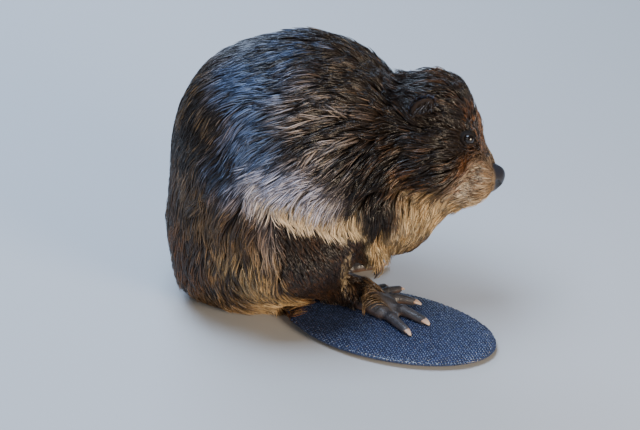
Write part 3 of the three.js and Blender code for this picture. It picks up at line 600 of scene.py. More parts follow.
region((-47, 0, 22), (-1, 0, .4), 6, 1.0, 2.4, .25, 44, UMBER, RUST, .45, 15, True)
region((-108, 0, 56), (-.9, 0, .3), 15, 1.3, 5, .60, 24, UMBER, CHESTNUT, .28, 26, True)      # crown
region((-100, 46, 25), (-1, .1, -.12), 14, 1.3, 5.5, .60, 24, UMBER * .75, CHESTNUT, .16, 20, True)
region((-80, 52, -12), (-1, .12, -.22), 16, 1.3, 6, .72, 24, UMBER * .75, TAN * .8, .20, 20, True)  # cheek
region((-108, 56, -16), (-.95, .05, -.34), 21, 1.4, 8.5, .76, 20, UMBER * .75, TAN * .8, .20, 24, True)
region((-88, 46, -44), (-.85, 0, -.5), 22, 1.5, 7.5, .66, 20, GOLDEN * .8, CREAM, .52, 20, True)
region((-140, 35, 15), (-1, 0, -.08), 22, 1.6, 9, .74, 18, UMBER * .75, CHESTNUT, .18, 26, True)
RP = np.array([r["p"] for r in REG]); RW = np.array([r["w"] for r in REG])
RS = np.array([r["s"] for r in REG]); RVV = np.array([r["v"] for r in REG])


def smooth(a, b, x):
    t = np.clip((x - a) / (b - a), 0, 1)
    return t * t * (3 - 2 * t)


def lie(q):
    """at points on the skin: the lie of the hair (not yet turned along the skin) and the region's numbers"""
    way = np.empty((len(q), 3)); val = np.empty((len(q), RVV.shape[1]))
    for a in range(0, len(q), 20000):
        x = q[a:a + 20000]
        d2 = ((x[:, None, :] - RP[None]) ** 2).sum(-1) / (RS ** 2)[None]
        w = 1.0 / (d2 + 0.10) ** 2.6
        w /= w.sum(1, keepdims=True)
        way[a:a + 20000] = w @ RW
        val[a:a + 20000] = w @ RVV
    return way, val


def wave(q, f, seed):
    """a slow swirl, the same for neighbouring hairs"""
    r = np.random.default_rng(seed)
    out = 0
    for _ in range(4):
        k = r.normal(size=3) * f
        out = out + np.sin(q @ k + r.uniform(0, 6.3))
    return out / 2.0


def flank_edge(q):
    """height at which the flank's long hair ends over the leg"""
    return 193 - .42 * (q[:, 0] + 20) + 4 * np.sin(q[:, 0] / 8.0)


def shank_mask(q):
    """1 on the short dark fur of the lower hind leg, below the long hair of the flank"""
    y = np.abs(q[:, 1])
    edge = flank_edge(q)
    on = smooth(-36, -24, q[:, 0] + .12 * (q[:, 2] - 160)) * smooth(edge + 3, edge - 5, q[:, 2]) * smooth(88, 72, q[:, 0])
    return on * smooth(34, 50, y)


def marks(q, way, v):
    """the markings with a clear edge, laid over the blended regions"""
    v = v.copy(); way = way.copy()
    y = np.abs(q[:, 1])
    m = shank_mask(q)[:, None]
    short = np.r_[14, 1.7, 3.6, .30, 20, UMBER, CHESTNUT * .8, .40]
    v = v * (1 - m) + short * m
    way = way * (1 - m) + np.array([.50, 0, -.87]) * m
    # the pale edge of the flank's long hair, over the shank
    edge = flank_edge(q)
    c = smooth(-62, -14, q[:, 0]) * smooth(90, 70, q[:, 0]) * smooth(edge + 50, edge + 20, q[:, 2]) * smooth(edge - 6, edge + 2, q[:, 2]) * smooth(75, 100, y)
    c = c[:, None]
    band = v.copy(); band[:, 0] = 28; band[:, 1] = 1.7; band[:, 2] = 7; band[:, 3] = .22; band[:, 4] = 19; band[:, 5:8] = CREAM * .75; band[:, 8:11] = CREAM * 1.25; band[:, 11] = .85
    v = v * (1 - .9 * c) + band * .9 * c
    # light fringe down the front of the shank to the ankle
    f = smooth(47, 53, q[:, 0]) * smooth(64, 57, q[:, 0]) * smooth(40, 60, q[:, 2]) * smooth(142, 126, q[:, 2]) * smooth(50, 62, y)
    f = f[:, None]
    fr = v.copy(); fr[:, 0] = 12; fr[:, 1] = 1.4; fr[:, 2] = 3; fr[:, 5:8] = SABLE; fr[:, 8:11] = CREAM; fr[:, 11] = .62
    v = v * (1 - .9 * f) + fr * .9 * f
    return way, v


def group_distance(q, groups):
    d = None
    for p in PRIMS:
        if p["g"] in groups:
            x = d_prim(q, p)
            d = x if d is None else np.minimum(d, x)
    return d


def bare(q):
    """how bare the skin is: (foot or paw, tail blade, nose)"""
    foot = smooth(4.0, 1.0, group_distance(q, ("foot",)))
    for name, F in HIND.items():
        along, out = foot_frame(F)
        near_foot = np.linalg.norm(q - (F["at"] + along * 70), axis=1) < 120
        a = (q - F["at"]) @ along
        foot = np.where(near_foot & (np.sign(q[:, 1] + 8) == F["s"]), foot * smooth(4, 18, a), foot)
    paw = smooth(3.0, 0.8, group_distance(q, ("paw",)))
    paw = paw * smooth(100, 91, q[:, 2])
    v = to_tail(q)
    blade = smooth(3.2, 1.2, d_blade(q)) * smooth(-0.93, -0.80, v[:, 0] / TAIL_HL)
    blade = blade * smooth(3.0, 1.0, np.abs(d_blade(q)))
    h = to_head(q)
    nose = smooth(3.6, 1.6, d_prim(q, PRIMS[-1])) * smooth(-23, -17, h[:, 0] + .10 * np.abs(h[:, 1]))
    return np.maximum(foot, paw), blade, nose


# ============================================================================ meshes
ALL_PIECES = []


def mesh_of(name, V, F, smooth_faces=True, tint=None, uv=None, scale_world=True):
    me = bpy.data.meshes.new(name)
    F = np.ascontiguousarray(F, np.int32)
    V = world(V) if scale_world else V
    me.vertices.add(len(V)); me.vertices.foreach_set("co", V.astype(np.float32).ravel())
    me.loops.add(F.size); me.loops.foreach_set("vertex_index", F.ravel())
    me.polygons.add(len(F))
    me.polygons.foreach_set("loop_start", np.arange(0, F.size, F.shape[1], dtype=np.int32))
    me.update(calc_edges=True)
    if smooth_faces:
        me.polygons.foreach_set("use_smooth", np.ones(len(F), bool))
    if tint is not None:
        a = me.color_attributes.new("tint", "FLOAT_COLOR", "POINT")
        a.data.foreach_set("color", np.c_[tint, np.ones(len(tint))].astype(np.float32).ravel())
    if uv is not None:
        l = me.uv_layers.new(name="OFBake")
        l.data.foreach_set("uv", uv[F.ravel()].astype(np.float32).ravel())
    ob = bpy.data.objects.new(name, me)
    bpy.context.scene.collection.objects.link(ob)
    ALL_PIECES.append(ob)
    return ob


def nodes_of(name):
    m = bpy.data.materials.new(name); m.use_nodes = True
    nt = m.node_tree
    return m, nt, nt.nodes["Principled BSDF"]


def add_bump(nt, bs, height, strength, distance):
    b = nt.nodes.new("ShaderNodeBump")
    b.inputs["Strength"].default_value = strength; b.inputs["Distance"].default_value = distance
    nt.links.new(height, b.inputs["Height"]); nt.links.new(b.outputs["Normal"], bs.inputs["Normal"])
    return b


def tinted(name, rough, spec=0.5):
    m, nt, bs = nodes_of(name)
    a = nt.nodes.new("ShaderNodeVertexColor"); a.layer_name = "tint"
    nt.links.new(a.outputs["Color"], bs.inputs["Base Color"])
    bs.inputs["Roughness"].default_value = rough
    bs.inputs["Specular IOR Level"].default_value = spec
    return m, nt, bs


def noise(nt, scale, detail=3, rough=.55, coord=None, stretch=None):
    tc = nt.nodes.new("ShaderNodeTexCoord")
    n = nt.nodes.new("ShaderNodeTexNoise")
    n.inputs["Scale"].default_value = scale; n.inputs["Detail"].default_value = detail; n.inputs["Roughness"].default_value = rough
    src = tc.outputs["Object"]
    if stretch is not None:
        mp = nt.nodes.new("ShaderNodeMapping"); mp.inputs["Scale"].default_value = stretch
        if coord is not None:
            mp.inputs["Rotation"].default_value = coord
        nt.links.new(src, mp.inputs["Vector"]); src = mp.outputs["Vector"]
    nt.links.new(src, n.inputs["Vector"])
    return n


# materials
mat_coat, _, _ = tinted("coat", .28, .58)
mat_under, nt, bs = tinted("undercoat", .75, .18)
n = noise(nt, 420, 4)
add_bump(nt, bs, n.outputs["Fac"], .5, .0012)
mat_hide, nt, bs = tinted("foot_hide", .34, .55)
n = nt.nodes.new("ShaderNodeTexVoronoi"); n.inputs["Scale"].default_value = 520
tc = nt.nodes.new("ShaderNodeTexCoord"); nt.links.new(tc.outputs["Object"], n.inputs["Vector"])
add_bump(nt, bs, n.outputs["Distance"], .55, .0007)
mat_tail, nt, bs = tinted("tail_hide", .24, .65)
n = nt.nodes.new("ShaderNodeTexVoronoi"); n.inputs["Scale"].default_value = 260
tc = nt.nodes.new("ShaderNodeTexCoord"); nt.links.new(tc.outputs["Object"], n.inputs["Vector"])
add_bump(nt, bs, n.outputs["Distance"], .6, .0009)
mat_nose, nt, bs = tinted("nose_pad", .36, .5)
n = nt.nodes.new("ShaderNodeTexVoronoi"); n.inputs["Scale"].default_value = 900
tc = nt.nodes.new("ShaderNodeTexCoord"); nt.links.new(tc.outputs["Object"], n.inputs["Vector"])
add_bump(nt, bs, n.outputs["Distance"], .28, .0004)
mat_eye, nt, bs = nodes_of("eye")
bs.inputs["Base Color"].default_value = (.008, .005, .004, 1); bs.inputs["Roughness"].default_value = .05
bs.inputs["Specular IOR Level"].default_value = .6
mat_claw_h, nt, bs = tinted("hind_claw", .32, .5)
mat_claw_f, nt, bs = tinted("fore_claw", .32, .5)

# ---- skin
FOOT = np.array([.060, .058, .066]); FOOT_LOW = np.array([.15, .085, .055])
TAIL = np.array([.027, .040, .092]); NOSE = np.array([.022, .021, .026]); LID = np.array([.012, .008, .006])
way, val = lie(SV)
way, val = marks(SV, way, val)
b_foot, b_tail, b_nose = bare(SV)
sd, sn = near_skin(SV)
tint = val[:, 5:8] * (1 - .35 * val[:, 11:12]) + val[:, 8:11] * .35 * val[:, 11:12]
tint = tint * .55 * (1 + .12 * wave(SV, .35, 5)[:, None])
rel = np.clip(sn[:, 2], -1, 1)[:, None]
foot_c = FOOT * smooth(-.5, .5, rel) + FOOT_LOW * (1 - smooth(-.5, .5, rel))
foot_c = foot_c * (1 + .18 * wave(SV, .30, 9)[:, None])
tint = tint * (1 - b_foot[:, None]) + foot_c * b_foot[:, None]
tint = tint * (1 - b_tail[:, None]) + TAIL * b_tail[:, None]
tint = tint * (1 - b_nose[:, None]) + NOSE * b_nose[:, None]
for name, s in (("right", -1), ("left", 1)):
    de = np.linalg.norm(SV - EYES[name], axis=1)
    k = smooth(14.5, 10.5, de)[:, None]
    tint = tint * (1 - k) + LID * k
    c, R = EAR_FRAME[name]
    e = (SV - c) @ R
    k = (smooth(26, 18, np.linalg.norm(e, axis=1)) * smooth(-1.5, 1.5, e[:, 0]))[:, None]
    tint = tint * (1 - k) + np.array([.022, .015, .013]) * k
for s in (-1, 1):                                            # the dark inside of the nostrils
    k = smooth(.9, -.6, tube(SV, [hp(3.6, s * 5.4, -15.0), hp(.6, s * 10.6, -10.5), hp(-5.6, s * 16.2, -6.0)], [1.6, 4.2, 1.9]))[:, None]
    tint = tint * (1 - k) + np.array([.005, .004, .004]) * k
tint = np.clip(tint, .003, 1)
skin = mesh_of("skin", SV, SF, tint=tint)
fm = np.c_[b_foot, b_tail, b_nose][SF].mean(1)
which = np.where(fm.max(1) > .5, fm.argmax(1) + 1, 0)
for m in (mat_under, mat_hide, mat_tail, mat_nose):
    skin.data.materials.append(m)
skin.data.polygons.foreach_set("material_index", which.astype(np.int32))
FLESH = [n for n in frame["nodes"] if not n.startswith(("claw", "eye"))]
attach(skin, "root"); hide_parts(*FLESH)

# ---- eyes
for name, s in (("right", -1), ("left", 1)):
    node = "eye_" + name
    a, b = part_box(node)
    c = (np.array(a) + np.array(b)) / 2
    nu, nv = 40, 20
    th = np.linspace(0, math.pi, nv + 1)[1:-1]; ph = np.linspace(0, 2 * math.pi, nu, endpoint=False)
    P = np.array([[math.sin(t) * math.cos(p), math.sin(t) * math.sin(p), math.cos(t)] for t in th for p in ph] + [[0, 0, 1], [0, 0, -1]])
    F = [(i * nu + j, (i + 1) * nu + j, (i + 1) * nu + (j + 1) % nu) for i in range(nv - 2) for j in range(nu)]
    F += [(i * nu + j, (i + 1) * nu + (j + 1) % nu, i * nu + (j + 1) % nu) for i in range(nv - 2) for j in range(nu)]
    top, bot = len(P) - 2, len(P) - 1
    F += [(top, j, (j + 1) % nu) for j in range(nu)] + [(bot, (nv - 2) * nu + (j + 1) % nu, (nv - 2) * nu + j) for j in range(nu)]
    eye = mesh_of("eyeball_" + name, c + P * EYE_R * MM, F, scale_world=False)
    eye.data.materials.append(mat_eye)
    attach(eye, "root"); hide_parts(node)


# ---- claws
def claw(at, d, up, length, width, height, curl, dark, tip, sides=12, rings=9):
    side = unit(np.cross(up, d)); lift = unit(np.cross(d, side))
    V, T = [], []
    for i in range(rings):
        t = i / rings
        c = at + d * length * t - lift * curl * t * t * length
        w = 1 - .62 * t * t - .12 * t
        for j in range(sides):
            a = 2 * math.pi * j / sides
            V.append(c + side * math.cos(a) * width * w + lift * math.sin(a) * height * w * (1.0 if math.sin(a) > 0 else .7))
            T.append(dark * (1 - t) + tip * t)
    V.append(at + d * length - lift * curl * length); T.append(tip)
    V.append(np.array(at, float)); T.append(dark)
    e, r = len(V) - 2, len(V) - 1
    F = []
    for j in range(sides):
        k = (j + 1) % sides
        F.append((r, k, j))
        for i in range(rings - 1):
            a, b = i * sides + j, i * sides + k
            F += [(a, b, b + sides), (a, b + sides, a + sides)]
        F.append(((rings - 1) * sides + j, (rings - 1) * sides + k, e))
    return np.array(V), np.array(F), np.array(T)


def joined(parts):
    V, F, T, n = [], [], [], 0
    for v, f, t in parts:
        V.append(v); F.append(f + n); T.append(t); n += len(v)
    return np.concatenate(V), np.concatenate(F), np.concatenate(T)


HORN, HORN_TIP = np.array([.42, .27, .20]), np.array([.66, .50, .40])
BLACK, BLACK_TIP = np.array([.035, .025, .022]), np.array([.10, .07, .055])
hind, fore, hind_nodes, fore_nodes = [], [], [], []
for name in ("right", "left"):
    for i, (tip, d, up, r) in enumerate(toe_tips[name]):
        w = (3.6, 4.2, 5.2, 5.4, 4.6)[i]
        hind.append(claw(tip + d * r * .25 + np.array([0, 0, 1.2]), d, up, (9, 10, 11.5, 11.5, 11)[i] - .3, w - .25, w * .62 - .2, .2, HORN, HORN_TIP))
        hind_nodes.append("claw_hind_%s_%d" % (name, i + 1))
    for i, (tip, d, up, r) in enumerate(finger_tips[name]):
        fore.append(claw(tip + d * r * .3, d, up, (9, 14, 16, 14, 10)[i] - .4, 1.95, 2.4, .28, BLACK, BLACK_TIP))
        fore_nodes.append("claw_fore_%s_%d" % (name, i + 1))
for nm, parts, which_nodes, mat, sl in (("claws_hind", hind, hind_nodes, mat_claw_h, "hind_claw"), ("claws_fore", fore, fore_nodes, mat_claw_f, "fore_claw")):
    V, F, T = joined(parts)
    V[:, 2] = np.maximum(V[:, 2], .2)
    ob = mesh_of(nm, V, F, tint=T); ob.data.materials.append(mat)
    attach(ob, "root"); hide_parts(*which_nodes)

# ---- scales of the tail: low six-sided domes in rows across the blade
SL, SW = 3.5, 4.7           # along and across
cells = []
rows = int(2 * TAIL_HL / (SL * .80))
for i in range(rows):
    x = -TAIL_HL + (i + .5) * SL * .80
    cols = int(2 * TAIL_HW / SW) + 2
    for j in range(-cols // 2, cols // 2 + 1):
        cells.append((x + rng.normal() * .15, (j + .5 * (i % 2)) * SW + rng.normal() * .2))
cells = np.array(cells)
hw = TAIL_HW * (1 - .10 * np.maximum(0, -cells[:, 0] / TAIL_HL) ** 2)
rr = (cells[:, 0] / TAIL_HL) ** 2 + (cells[:, 1] / hw) ** 2
cells = cells[rr < .975]


def blade_top(uv, h=0.0):
    """points on the blade's upper side from places along and across it"""
    x = uv[:, 0] / TAIL_HL
    w = TAIL_HW * (1 - .10 * np.maximum(0, -x) ** 2)
    z = TAIL_RISE * (.93 + .07 * np.exp(-(uv[:, 1] / 16) ** 2)) * np.sqrt(np.maximum(1 - x ** 2 - (uv[:, 1] / w) ** 2, 0))
    p = TAIL_C + np.c_[uv, z] @ TAIL_R.T
    d, n = near_skin(p)
    return p + n * h


base = blade_top(cells)
free = group_distance(base, ("foot", "leg", "body")) > 1.0
d_rt = d_prim(base, ROOT_PRIMS[1])
cells = cells[free & (d_rt > -1.0) & (base[:, 2] > 1.5)]
K = 6
ang = np.arange(K) * math.pi / 3 + math.pi / 6
size = rng.uniform(.92, 1.06, len(cells))
low = np.stack([blade_top(cells + np.c_[np.cos(a) * SL * .60 * size, np.sin(a) * SW * .60 * size], -.7) for a in ang], 1)
mid_ = np.stack([blade_top(cells + np.c_[np.cos(a) * SL * .47 * size, np.sin(a) * SW * .44 * size], .34) for a in ang], 1)
top_ = blade_top(cells, .85)
n_ = len(cells)
V = np.concatenate([low, mid_, top_[:, None]], 1).reshape(-1, 3)
F = []
for j in range(K):
    k = (j + 1) % K
    F += [(j, k, K + k), (j, K + k, K + j), (K + j, K + k, 2 * K)]
for j in range(1, K - 1):
    F.append((0, j + 1, j))
F = (np.array(F)[None] + (np.arange(n_) * (2 * K + 1))[:, None, None]).reshape(-1, 3)
shade = (TAIL * rng.uniform(.75, 1.35, (n_, 1)))[:, None, :] * np.r_[np.full(K, .5), np.full(K, 1.0), 1.25][None, :, None]
V[:, 2] = np.maximum(V[:, 2], .3)
sc = mesh_of("tail_scales", V, F, smooth_faces=False, tint=shade.reshape(-1, 3))
sc.data.materials.append(mat_tail)
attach(sc, "root")

# ============================================================================ coat
TUFTS = 66000
tri_a = SV[SF]
fc = tri_a.mean(1)
fa = .5 * np.linalg.norm(np.cross(tri_a[:, 2] - tri_a[:, 0], tri_a[:, 3] - tri_a[:, 1]), axis=1)
fb = np.c_[b_foot, b_tail, b_nose][SF].mean(1).max(1)
_, fval = lie(fc)
_, fval = marks(fc, np.zeros((len(fc), 3)), fval)
dens = fval[:, 4] * smooth(.85, .5, fb)
for name in ("right", "left"):
    dens = dens * smooth(9.2, 10.6, np.linalg.norm(fc - EYES[name], axis=1))
    c, R = EAR_FRAME[name]
    e = (fc - c) @ R
    on_ear = (np.linalg.norm((fc - c), axis=1) < 24) & (near_skin(fc)[0] > 1.8)
    dens = np.where(on_ear, 0, dens)
fd, fn = near_skin(fc)
dens = dens * np.where((fc[:, 2] < 3.0) & (fn[:, 2] < -.3), 0, 1)
dens = dens * smooth(2.5, 6, fc[:, 2])
wgt = fa * dens
total = wgt.sum() / 100
COUNT = int(min(TUFTS, total))
print("tufts wanted", int(total), "made", COUNT)
cum = np.cumsum(wgt); cum /= cum[-1]
pick = np.searchsorted(cum, (np.arange(COUNT) + rng.uniform(0, 1, COUNT)) / COUNT)
pick = np.minimum(pick, len(cum) - 1)
u, v = rng.uniform(0, 1, (2, COUNT))
q4 = tri_a[pick]
ROOT = (q4[:, 0] * ((1 - u) * (1 - v))[:, None] + q4[:, 1] * (u * (1 - v))[:, None] + q4[:, 2] * (u * v)[:, None] + q4[:, 3] * ((1 - u) * v)[:, None])


def along_skin(p, way, angle):
    d, n = near_skin(p)
    t = way - n * (way * n).sum(1, keepdims=True)
    t = unit(t)
    b = np.cross(n, t)
    return unit(t * np.cos(angle)[:, None] + b * np.sin(angle)[:, None]), n, d


def grow(root, L, H, angle, S, rise=(0, .42, .80, 1.0, 1.06), low=-.9):
    """paths of hair that start at the roots, lie along the skin and rise slowly off it"""
    P = [root]
    p = root.copy()
    _, n0 = near_skin(p)
    P[0] = root + n0 * low
    frac = np.linspace(0, 1, S + 1)
    rs = np.interp(frac, np.linspace(0, 1, len(rise)), rise)
    Nn = [n0]; Tt = []
    for s in range(1, S + 1):
        w_, v_ = lie(p)
        w_, _ = marks(p, w_, v_)
        t, n, d = along_skin(p, w_, angle)
        Tt.append(t)
        p = p + t * (L / S)[:, None]
        d, n = near_skin(p)
        p = p + n * np.clip(H * rs[s] - d, -6, 6)[:, None]
        P.append(p.copy()); Nn.append(n)
    Tt.append(Tt[-1])
    return np.stack(P, 1), np.stack(Nn, 1), np.stack(Tt, 1)


w_, val = lie(ROOT)
w_, val = marks(ROOT, w_, val)
L, W_, H, K_, N_ = (val[:, i] for i in range(5))
S = 4
# clumps: a share of the tufts are the leaders that the others lean to
lead_n = max(50, int(COUNT * .085))
lead = np.sort(rng.choice(COUNT, lead_n, replace=False))
big = np.sort(rng.choice(lead_n, max(20, lead_n // 9), replace=False))


def tree(P):
    t = KDTree(len(P))
    for i, p in enumerate(P):
        t.insert(p, i)
    t.balance()
    return t


def nearest(t, P):
    return np.array([t.find(p)[1] for p in P.tolist()])


LR = ROOT[lead]
l_len = L[lead] * rng.uniform(.85, 1.2, lead_n)
l_h = H[lead] * rng.uniform(.75, 1.15, lead_n)
l_ang = rng.normal(0, .16, lead_n) + .20 * wave(LR, .045, 3) + .10 * wave(LR, .16, 4)
LP, LN, LT = grow(LR, l_len, l_h, l_ang, S)
bt = tree(LR[big].tolist())
bi = nearest(bt, LR)
f = np.linspace(0, 1, S + 1) ** 1.4
g = (.30 * K_[lead])[:, None, None] * f[None, :, None]
LP = LP * (1 - g) + LP[big][bi] * g
lt = tree(LR.tolist())
ci = nearest(lt, ROOT)
is_lead = np.zeros(COUNT, bool); is_lead[lead] = True
under = (rng.uniform(size=COUNT) < .24) & ~is_lead
u1 = rng.uniform(size=COUNT)
length = L * (.70 + .45 * u1) * np.where(under, .75, 1)
height = H * (.50 + .50 * rng.uniform(size=COUNT)) * np.where(under, .45, 1)
ang = l_ang[ci] * .8 + rng.normal(0, .10, COUNT)
P, NN, TT = grow(ROOT, length, height, ang, S)
far = np.linalg.norm(ROOT - LR[ci], axis=1)
reach = smooth(2.4, 1.0, far / np.maximum(np.sqrt(100 / np.maximum(N_, 1)) * 3.4 * .5, 1e-3))
g = (K_ * rng.uniform(.80, 1.08, COUNT) * reach * np.where(under, .4, 1))[:, None, None] * f[None, :, None]
g = np.clip(g, 0, .96)
P = P * (1 - g) + LP[ci] * g
# never inside the skin, except at the root
flat = P[:, 1:].reshape(-1, 3)
d, n = near_skin(flat)
flat = flat + n * np.maximum(.35 - d, 0)[:, None]
P[:, 1:] = flat.reshape(COUNT, S, 3)
P[:, :, 2] = np.maximum(P[:, :, 2], .7)

# colours: light and dark by clump and by tuft, darker at the root
light_c = rng.uniform(size=lead_n)[ci]
share = val[:, 11]
pick_l = .55 * light_c + .45 * rng.uniform(size=COUNT)
k = smooth(1 - share - .16, 1 - share + .16, pick_l) * np.where(under, .15, 1)
body_c = val[:, 5:8] * (1 - .45 * k[:, None]) + val[:, 8:11] * .45 * k[:, None]
tip_c = val[:, 5:8] * (1 - .95 * k[:, None]) + val[:, 8:11] * .95 * k[:, None]
vary = np.exp(rng.normal(0, .22, COUNT))[:, None]
body_c, tip_c = body_c * vary, tip_c * vary
ts = np.linspace(0, 1, S + 1)
grad = [.45, .75, 1, 1, 1]
COL = np.stack([(body_c * (1 - smooth(.25, .9, t)) + tip_c * smooth(.25, .9, t)) * grad[i] for i, t in enumerate(ts)], 1)

# solid three-sided blades that taper to a point
prof = np.array([.60, 1.0, .88, .58, 0])
width = W_ * rng.uniform(.75, 1.25, COUNT) * np.where(under, 1.35, 1) * (1 - .30 * K_)

# ---- hair of the ears, and the whiskers, each from its own root
XP, XN, XW, XC = [], [], [], []


def add_hair(root, way, up, length, height, wide, dark, light, bend=None):
    n = len(root)
    way, up = unit(way), unit(up)
    t = np.linspace(0, 1, S + 1)
    rise = np.interp(t, (0, .3, .65, 1), (0, .75, 1, .9))
    Q = root[:, None] + way[:, None] * (length[:, None] * t)[..., None] + up[:, None] * (height[:, None] * rise)[..., None]
    if bend is not None:
        Q = Q + bend[:, None] * (length[:, None] * t ** 2)[..., None]
    XP.append(Q); XN.append(np.repeat(up[:, None], S + 1, 1)); XW.append(wide)
    mixc = smooth(.15, .9, t)[None, :, None]
    XC.append(dark[:, None] * (1 - mixc) * .8 + light[:, None] * mixc)


for name, s in (("right", -1), ("left", 1)):
    c, R = EAR_FRAME[name]
    for side_, n, keep in ((-1, 620, 1.0), (1, 150, .8)):        # the back of the flap, then its hollow face
        a_, u_ = rng.uniform(0, 2 * math.pi, n), rng.uniform(.02, keep, n) ** .5
        w_, l_ = EAR_SIZE[1] * u_ * np.cos(a_), EAR_SIZE[2] * u_ * np.sin(a_)
        o_ = side_ * EAR_SIZE[0] * np.sqrt(1 - np.minimum(u_ ** 2, 1)) * (1 if side_ < 0 else -.45)
        root_ = c + np.c_[o_, w_, l_] @ R.T
        nrm = np.c_[o_ / EAR_SIZE[0] ** 2 + side_ * .02, w_ / EAR_SIZE[1] ** 2, l_ / EAR_SIZE[2] ** 2] @ R.T
        way_ = np.c_[np.zeros(n), w_ * .03 + rng.normal(0, .12, n), np.ones(n)] @ R.T
        k_ = (rng.uniform(size=n) < .30)[:, None]
        add_hair(root_, way_ - unit(nrm) * (way_ * unit(nrm)).sum(1, keepdims=True) * .8, nrm,
                 rng.uniform(5, 8.5, n), rng.uniform(.5, 1.5, n), rng.uniform(.8, 1.2, n),
                 np.tile(UMBER, (n, 1)), np.where(k_, STEEL, SABLE * .8))
    n = 110                                                      # fine hairs that cross the opening, some pale
    a_ = rng.uniform(-1, 1, n)
    b_ = rng.uniform(-1, 1, n)
    root_ = c + np.c_[.4 + 2.0 * b_ ** 2, EAR_SIZE[1] * .86 * b_, EAR_SIZE[2] * (-.80 + .95 * a_ ** 2 * np.sqrt(1 - .75 * b_ ** 2))] @ R.T
    way_ = np.c_[np.full(n, .12), -.16 * b_ + rng.normal(0, .16, n), np.ones(n)] @ R.T
    add_hair(root_, way_, np.tile(R[:, 0], (n, 1)), rng.uniform(9, 22, n), rng.uniform(1.0, 3.0, n),
             rng.uniform(.34, .55, n), np.tile(UMBER * .7, (n, 1)),
             np.where(rng.uniform(size=(n, 1)) < .45, np.array([[.40, .44, .54]]), UMBER), bend=np.tile(R[:, 1] * .10, (n, 1)))
    n = 10                                                       # whiskers
    f_, u_ = rng.uniform(-34, -20, n), rng.uniform(-20, -2, n)
    root_ = np.array([hp(a, s * 24, b) for a, b in zip(f_, u_)])
    for _ in range(6):
        d, nn = near_skin(root_)
        root_ = root_ - nn * np.clip(d + .5, -4, 4)[:, None]
    way_ = unit(np.array([[-.55, s * .75, -.15]] * n) + rng.normal(0, .13, (n, 3))) @ HEAD_R.T
    add_hair(root_, way_, nn, rng.uniform(26, 44, n), rng.uniform(1, 2, n), rng.uniform(.34, .46, n),
             np.tile(TAN * .5, (n, 1)), np.tile(TAN, (n, 1)), bend=np.tile(HEAD_R @ np.array([-.16, 0, -.22]), (n, 1)))
XP, XN = np.concatenate(XP), np.concatenate(XN)
P, NN, COL = np.concatenate([P, XP]), np.concatenate([NN, XN]), np.concatenate([COL, np.concatenate(XC)])
width = np.concatenate([width, np.concatenate(XW)])
ROOT = np.concatenate([ROOT, XP[:, 0]]); COUNT = len(ROOT)
T_ = np.empty_like(P)
T_[:, 1:-1] = P[:, 2:] - P[:, :-2]; T_[:, 0] = P[:, 1] - P[:, 0]; T_[:, -1] = P[:, -1] - P[:, -2]
T_ = unit(T_)
B_ = unit(np.cross(NN, T_))
U_ = np.cross(T_, B_)
roll = rng.normal(0, .45, COUNT)[:, None, None]
B2 = B_ * np.cos(roll) + U_ * np.sin(roll)
U2 = U_ * np.cos(roll) - B_ * np.sin(roll)
rings = []
for a, b in ((-.5, -.16), (.5, -.16), (0, .34)):
    rings.append(P[:, :S] + B2[:, :S] * (width[:, None] * prof[None, :S] * a)[..., None] + U2[:, :S] * (width[:, None] * prof[None, :S] * b)[..., None])
R3 = np.stack(rings, 2)                                   # tuft, level, corner, xyz
V = np.concatenate([R3.reshape(COUNT, S * 3, 3), P[:, S:S + 1]], 1)
V[:, :, 2] = np.maximum(V[:, :, 2], .35)
CV = np.concatenate([np.repeat(COL[:, :S], 3, axis=1), COL[:, S:]], 1)
tf = [(0, 2, 1)]
for s in range(S - 1):
    for j in range(3):
        k2 = (j + 1) % 3
        a, b = s * 3 + j, s * 3 + k2
        tf += [(a, b, b + 3), (a, b + 3, a + 3)]
for j in range(3):
    tf.append(((S - 1) * 3 + j, (S - 1) * 3 + (j + 1) % 3, S * 3))
tf = np.array(tf)
nv = S * 3 + 1

# each tuft's patch on an unwrap of the skin: round the body's long axis, with equal areas
hl = to_head(ROOT)
on_head = (hl[:, 0] > -132) & (np.linalg.norm(hl - np.array([-70, 0, -8]), axis=1) < 92)
HEADC, BODYC = hp(-75, 0, -10), np.array([-10.0, 0, 150])
rel = np.where(on_head[:, None], (ROOT - HEADC) @ HEAD_R, ROOT - BODYC)
rel = unit(rel)
uv0 = np.c_[np.arctan2(rel[:, 1], rel[:, 0]) / (2 * math.pi) + .5, rel[:, 2] * .5 + .5] * .994 + .0015
loc = np.zeros((nv, 2))
for s in range(S):
    for j in range(3):
        loc[s * 3 + j] = ((j - 1) * .0012, (s / S - .5) * .0030)
loc[-1] = (0, .0015)
UV = uv0[:, None, :] + loc[None]

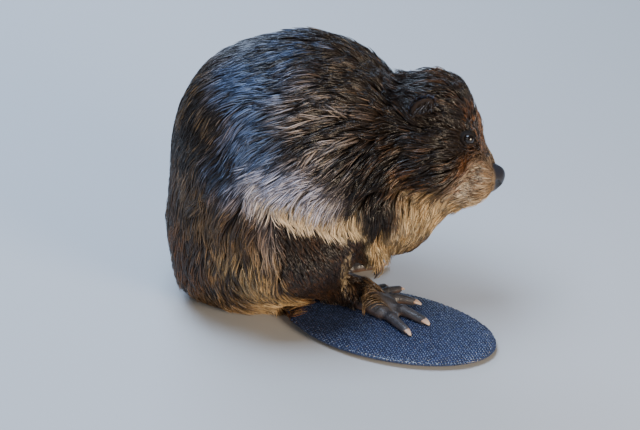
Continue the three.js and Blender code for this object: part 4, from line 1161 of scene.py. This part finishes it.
part = np.full(COUNT, -1)
x, y, z = ROOT.T
part[on_head] = np.where(hl[on_head, 1] > 0, 12, 0)
names = ["coat_head_right", "coat_neck", "coat_shoulder_right", "coat_shoulder_left", "coat_side_right", "coat_side_left",
         "coat_back_right", "coat_back_left", "coat_rump_right", "coat_rump_left", "coat_low_right", "coat_low_left", "coat_head_left"]
rest = ~on_head
part[rest & (x > 118)] = 1
rest &= part < 0
sidex = (y > 0).astype(int)
part = np.where(rest & (x > 55), 2 + sidex, part); rest &= part < 0
lowm = rest & (z < 110)
part = np.where(lowm, 10 + sidex, part); rest &= part < 0
part = np.where(rest & (x < -70), 8 + sidex, part); rest &= part < 0
part = np.where(rest & (z > 250), 6 + sidex, part); rest &= part < 0
part = np.where(rest, 4 + sidex, part)
tri_total = 0
for i, nm in enumerate(names):
    idx = np.flatnonzero(part == i)
    if not len(idx):
        continue
    F = (tf[None] + (np.arange(len(idx)) * nv)[:, None, None]).reshape(-1, 3)
    tri_total += len(F)
    print(nm, len(idx), len(F))
    ob = mesh_of(nm, V[idx].reshape(-1, 3), F, tint=CV[idx].reshape(-1, 3), uv=UV[idx].reshape(-1, 2))
    ob.data.materials.append(mat_coat)
    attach(ob, "root")
print("coat triangles", tri_total, "skin", 2 * len(SF))

# ============================================================================ stage, light and camera
bpy.ops.mesh.primitive_plane_add(size=14)
floor = bpy.context.object; floor.name = "floor"
m, nt, bs = nodes_of("floor")
bs.inputs["Base Color"].default_value = (.50, .50, .50, 1); bs.inputs["Roughness"].default_value = .7
floor.data.materials.append(m)
w = bpy.data.worlds.new("studio"); bpy.context.scene.world = w; w.use_nodes = True
bg = w.node_tree.nodes["Background"]
bg.inputs[0].default_value = (.72, .82, 1.0, 1); bg.inputs[1].default_value = .14


def area(name, loc, target, size, power, color):
    l = bpy.data.lights.new(name, "AREA"); l.shape = "RECTANGLE"
    l.size, l.size_y = size; l.energy = power; l.color = color
    o = bpy.data.objects.new(name, l); bpy.context.scene.collection.objects.link(o)
    o.location = loc
    o.rotation_euler = (Vector(target) - Vector(loc)).to_track_quat("-Z", "Y").to_euler()
    return o


area("sky", (-.45, -.05, 2.3), (0, 0, .2), (1.4, 1.2), 80, (.58, .75, 1.0))
area("back", (-.98, 2.3, 1.5), (-.1, 0, .12), (2.0, 1.0), 70, (.58, .74, 1.0))
area("key", (1.6, -1.7, .70), (.02, -.02, .14), (.8, .6), 66, (1.0, .82, .60))
area("fill", (-1.2, -2.2, 1.3), (0, 0, .15), (1.6, 1.2), 9, (1.0, .93, .86))

E_, DC = math.radians(31), 4200.0
aim = np.array([25, 0, 113.8])
cam = bpy.data.objects.new("camera", bpy.data.cameras.new("camera"))
bpy.context.scene.collection.objects.link(cam)
cam.location = Vector(world(aim + DC * np.array([0, -math.cos(E_), math.sin(E_)])))
cam.rotation_euler = (math.pi / 2 - E_, 0, 0)
cam.data.sensor_width = 36
cam.data.lens = 36 * DC / 800
cam.data.clip_start, cam.data.clip_end = .05, 40
bpy.context.scene.camera = cam
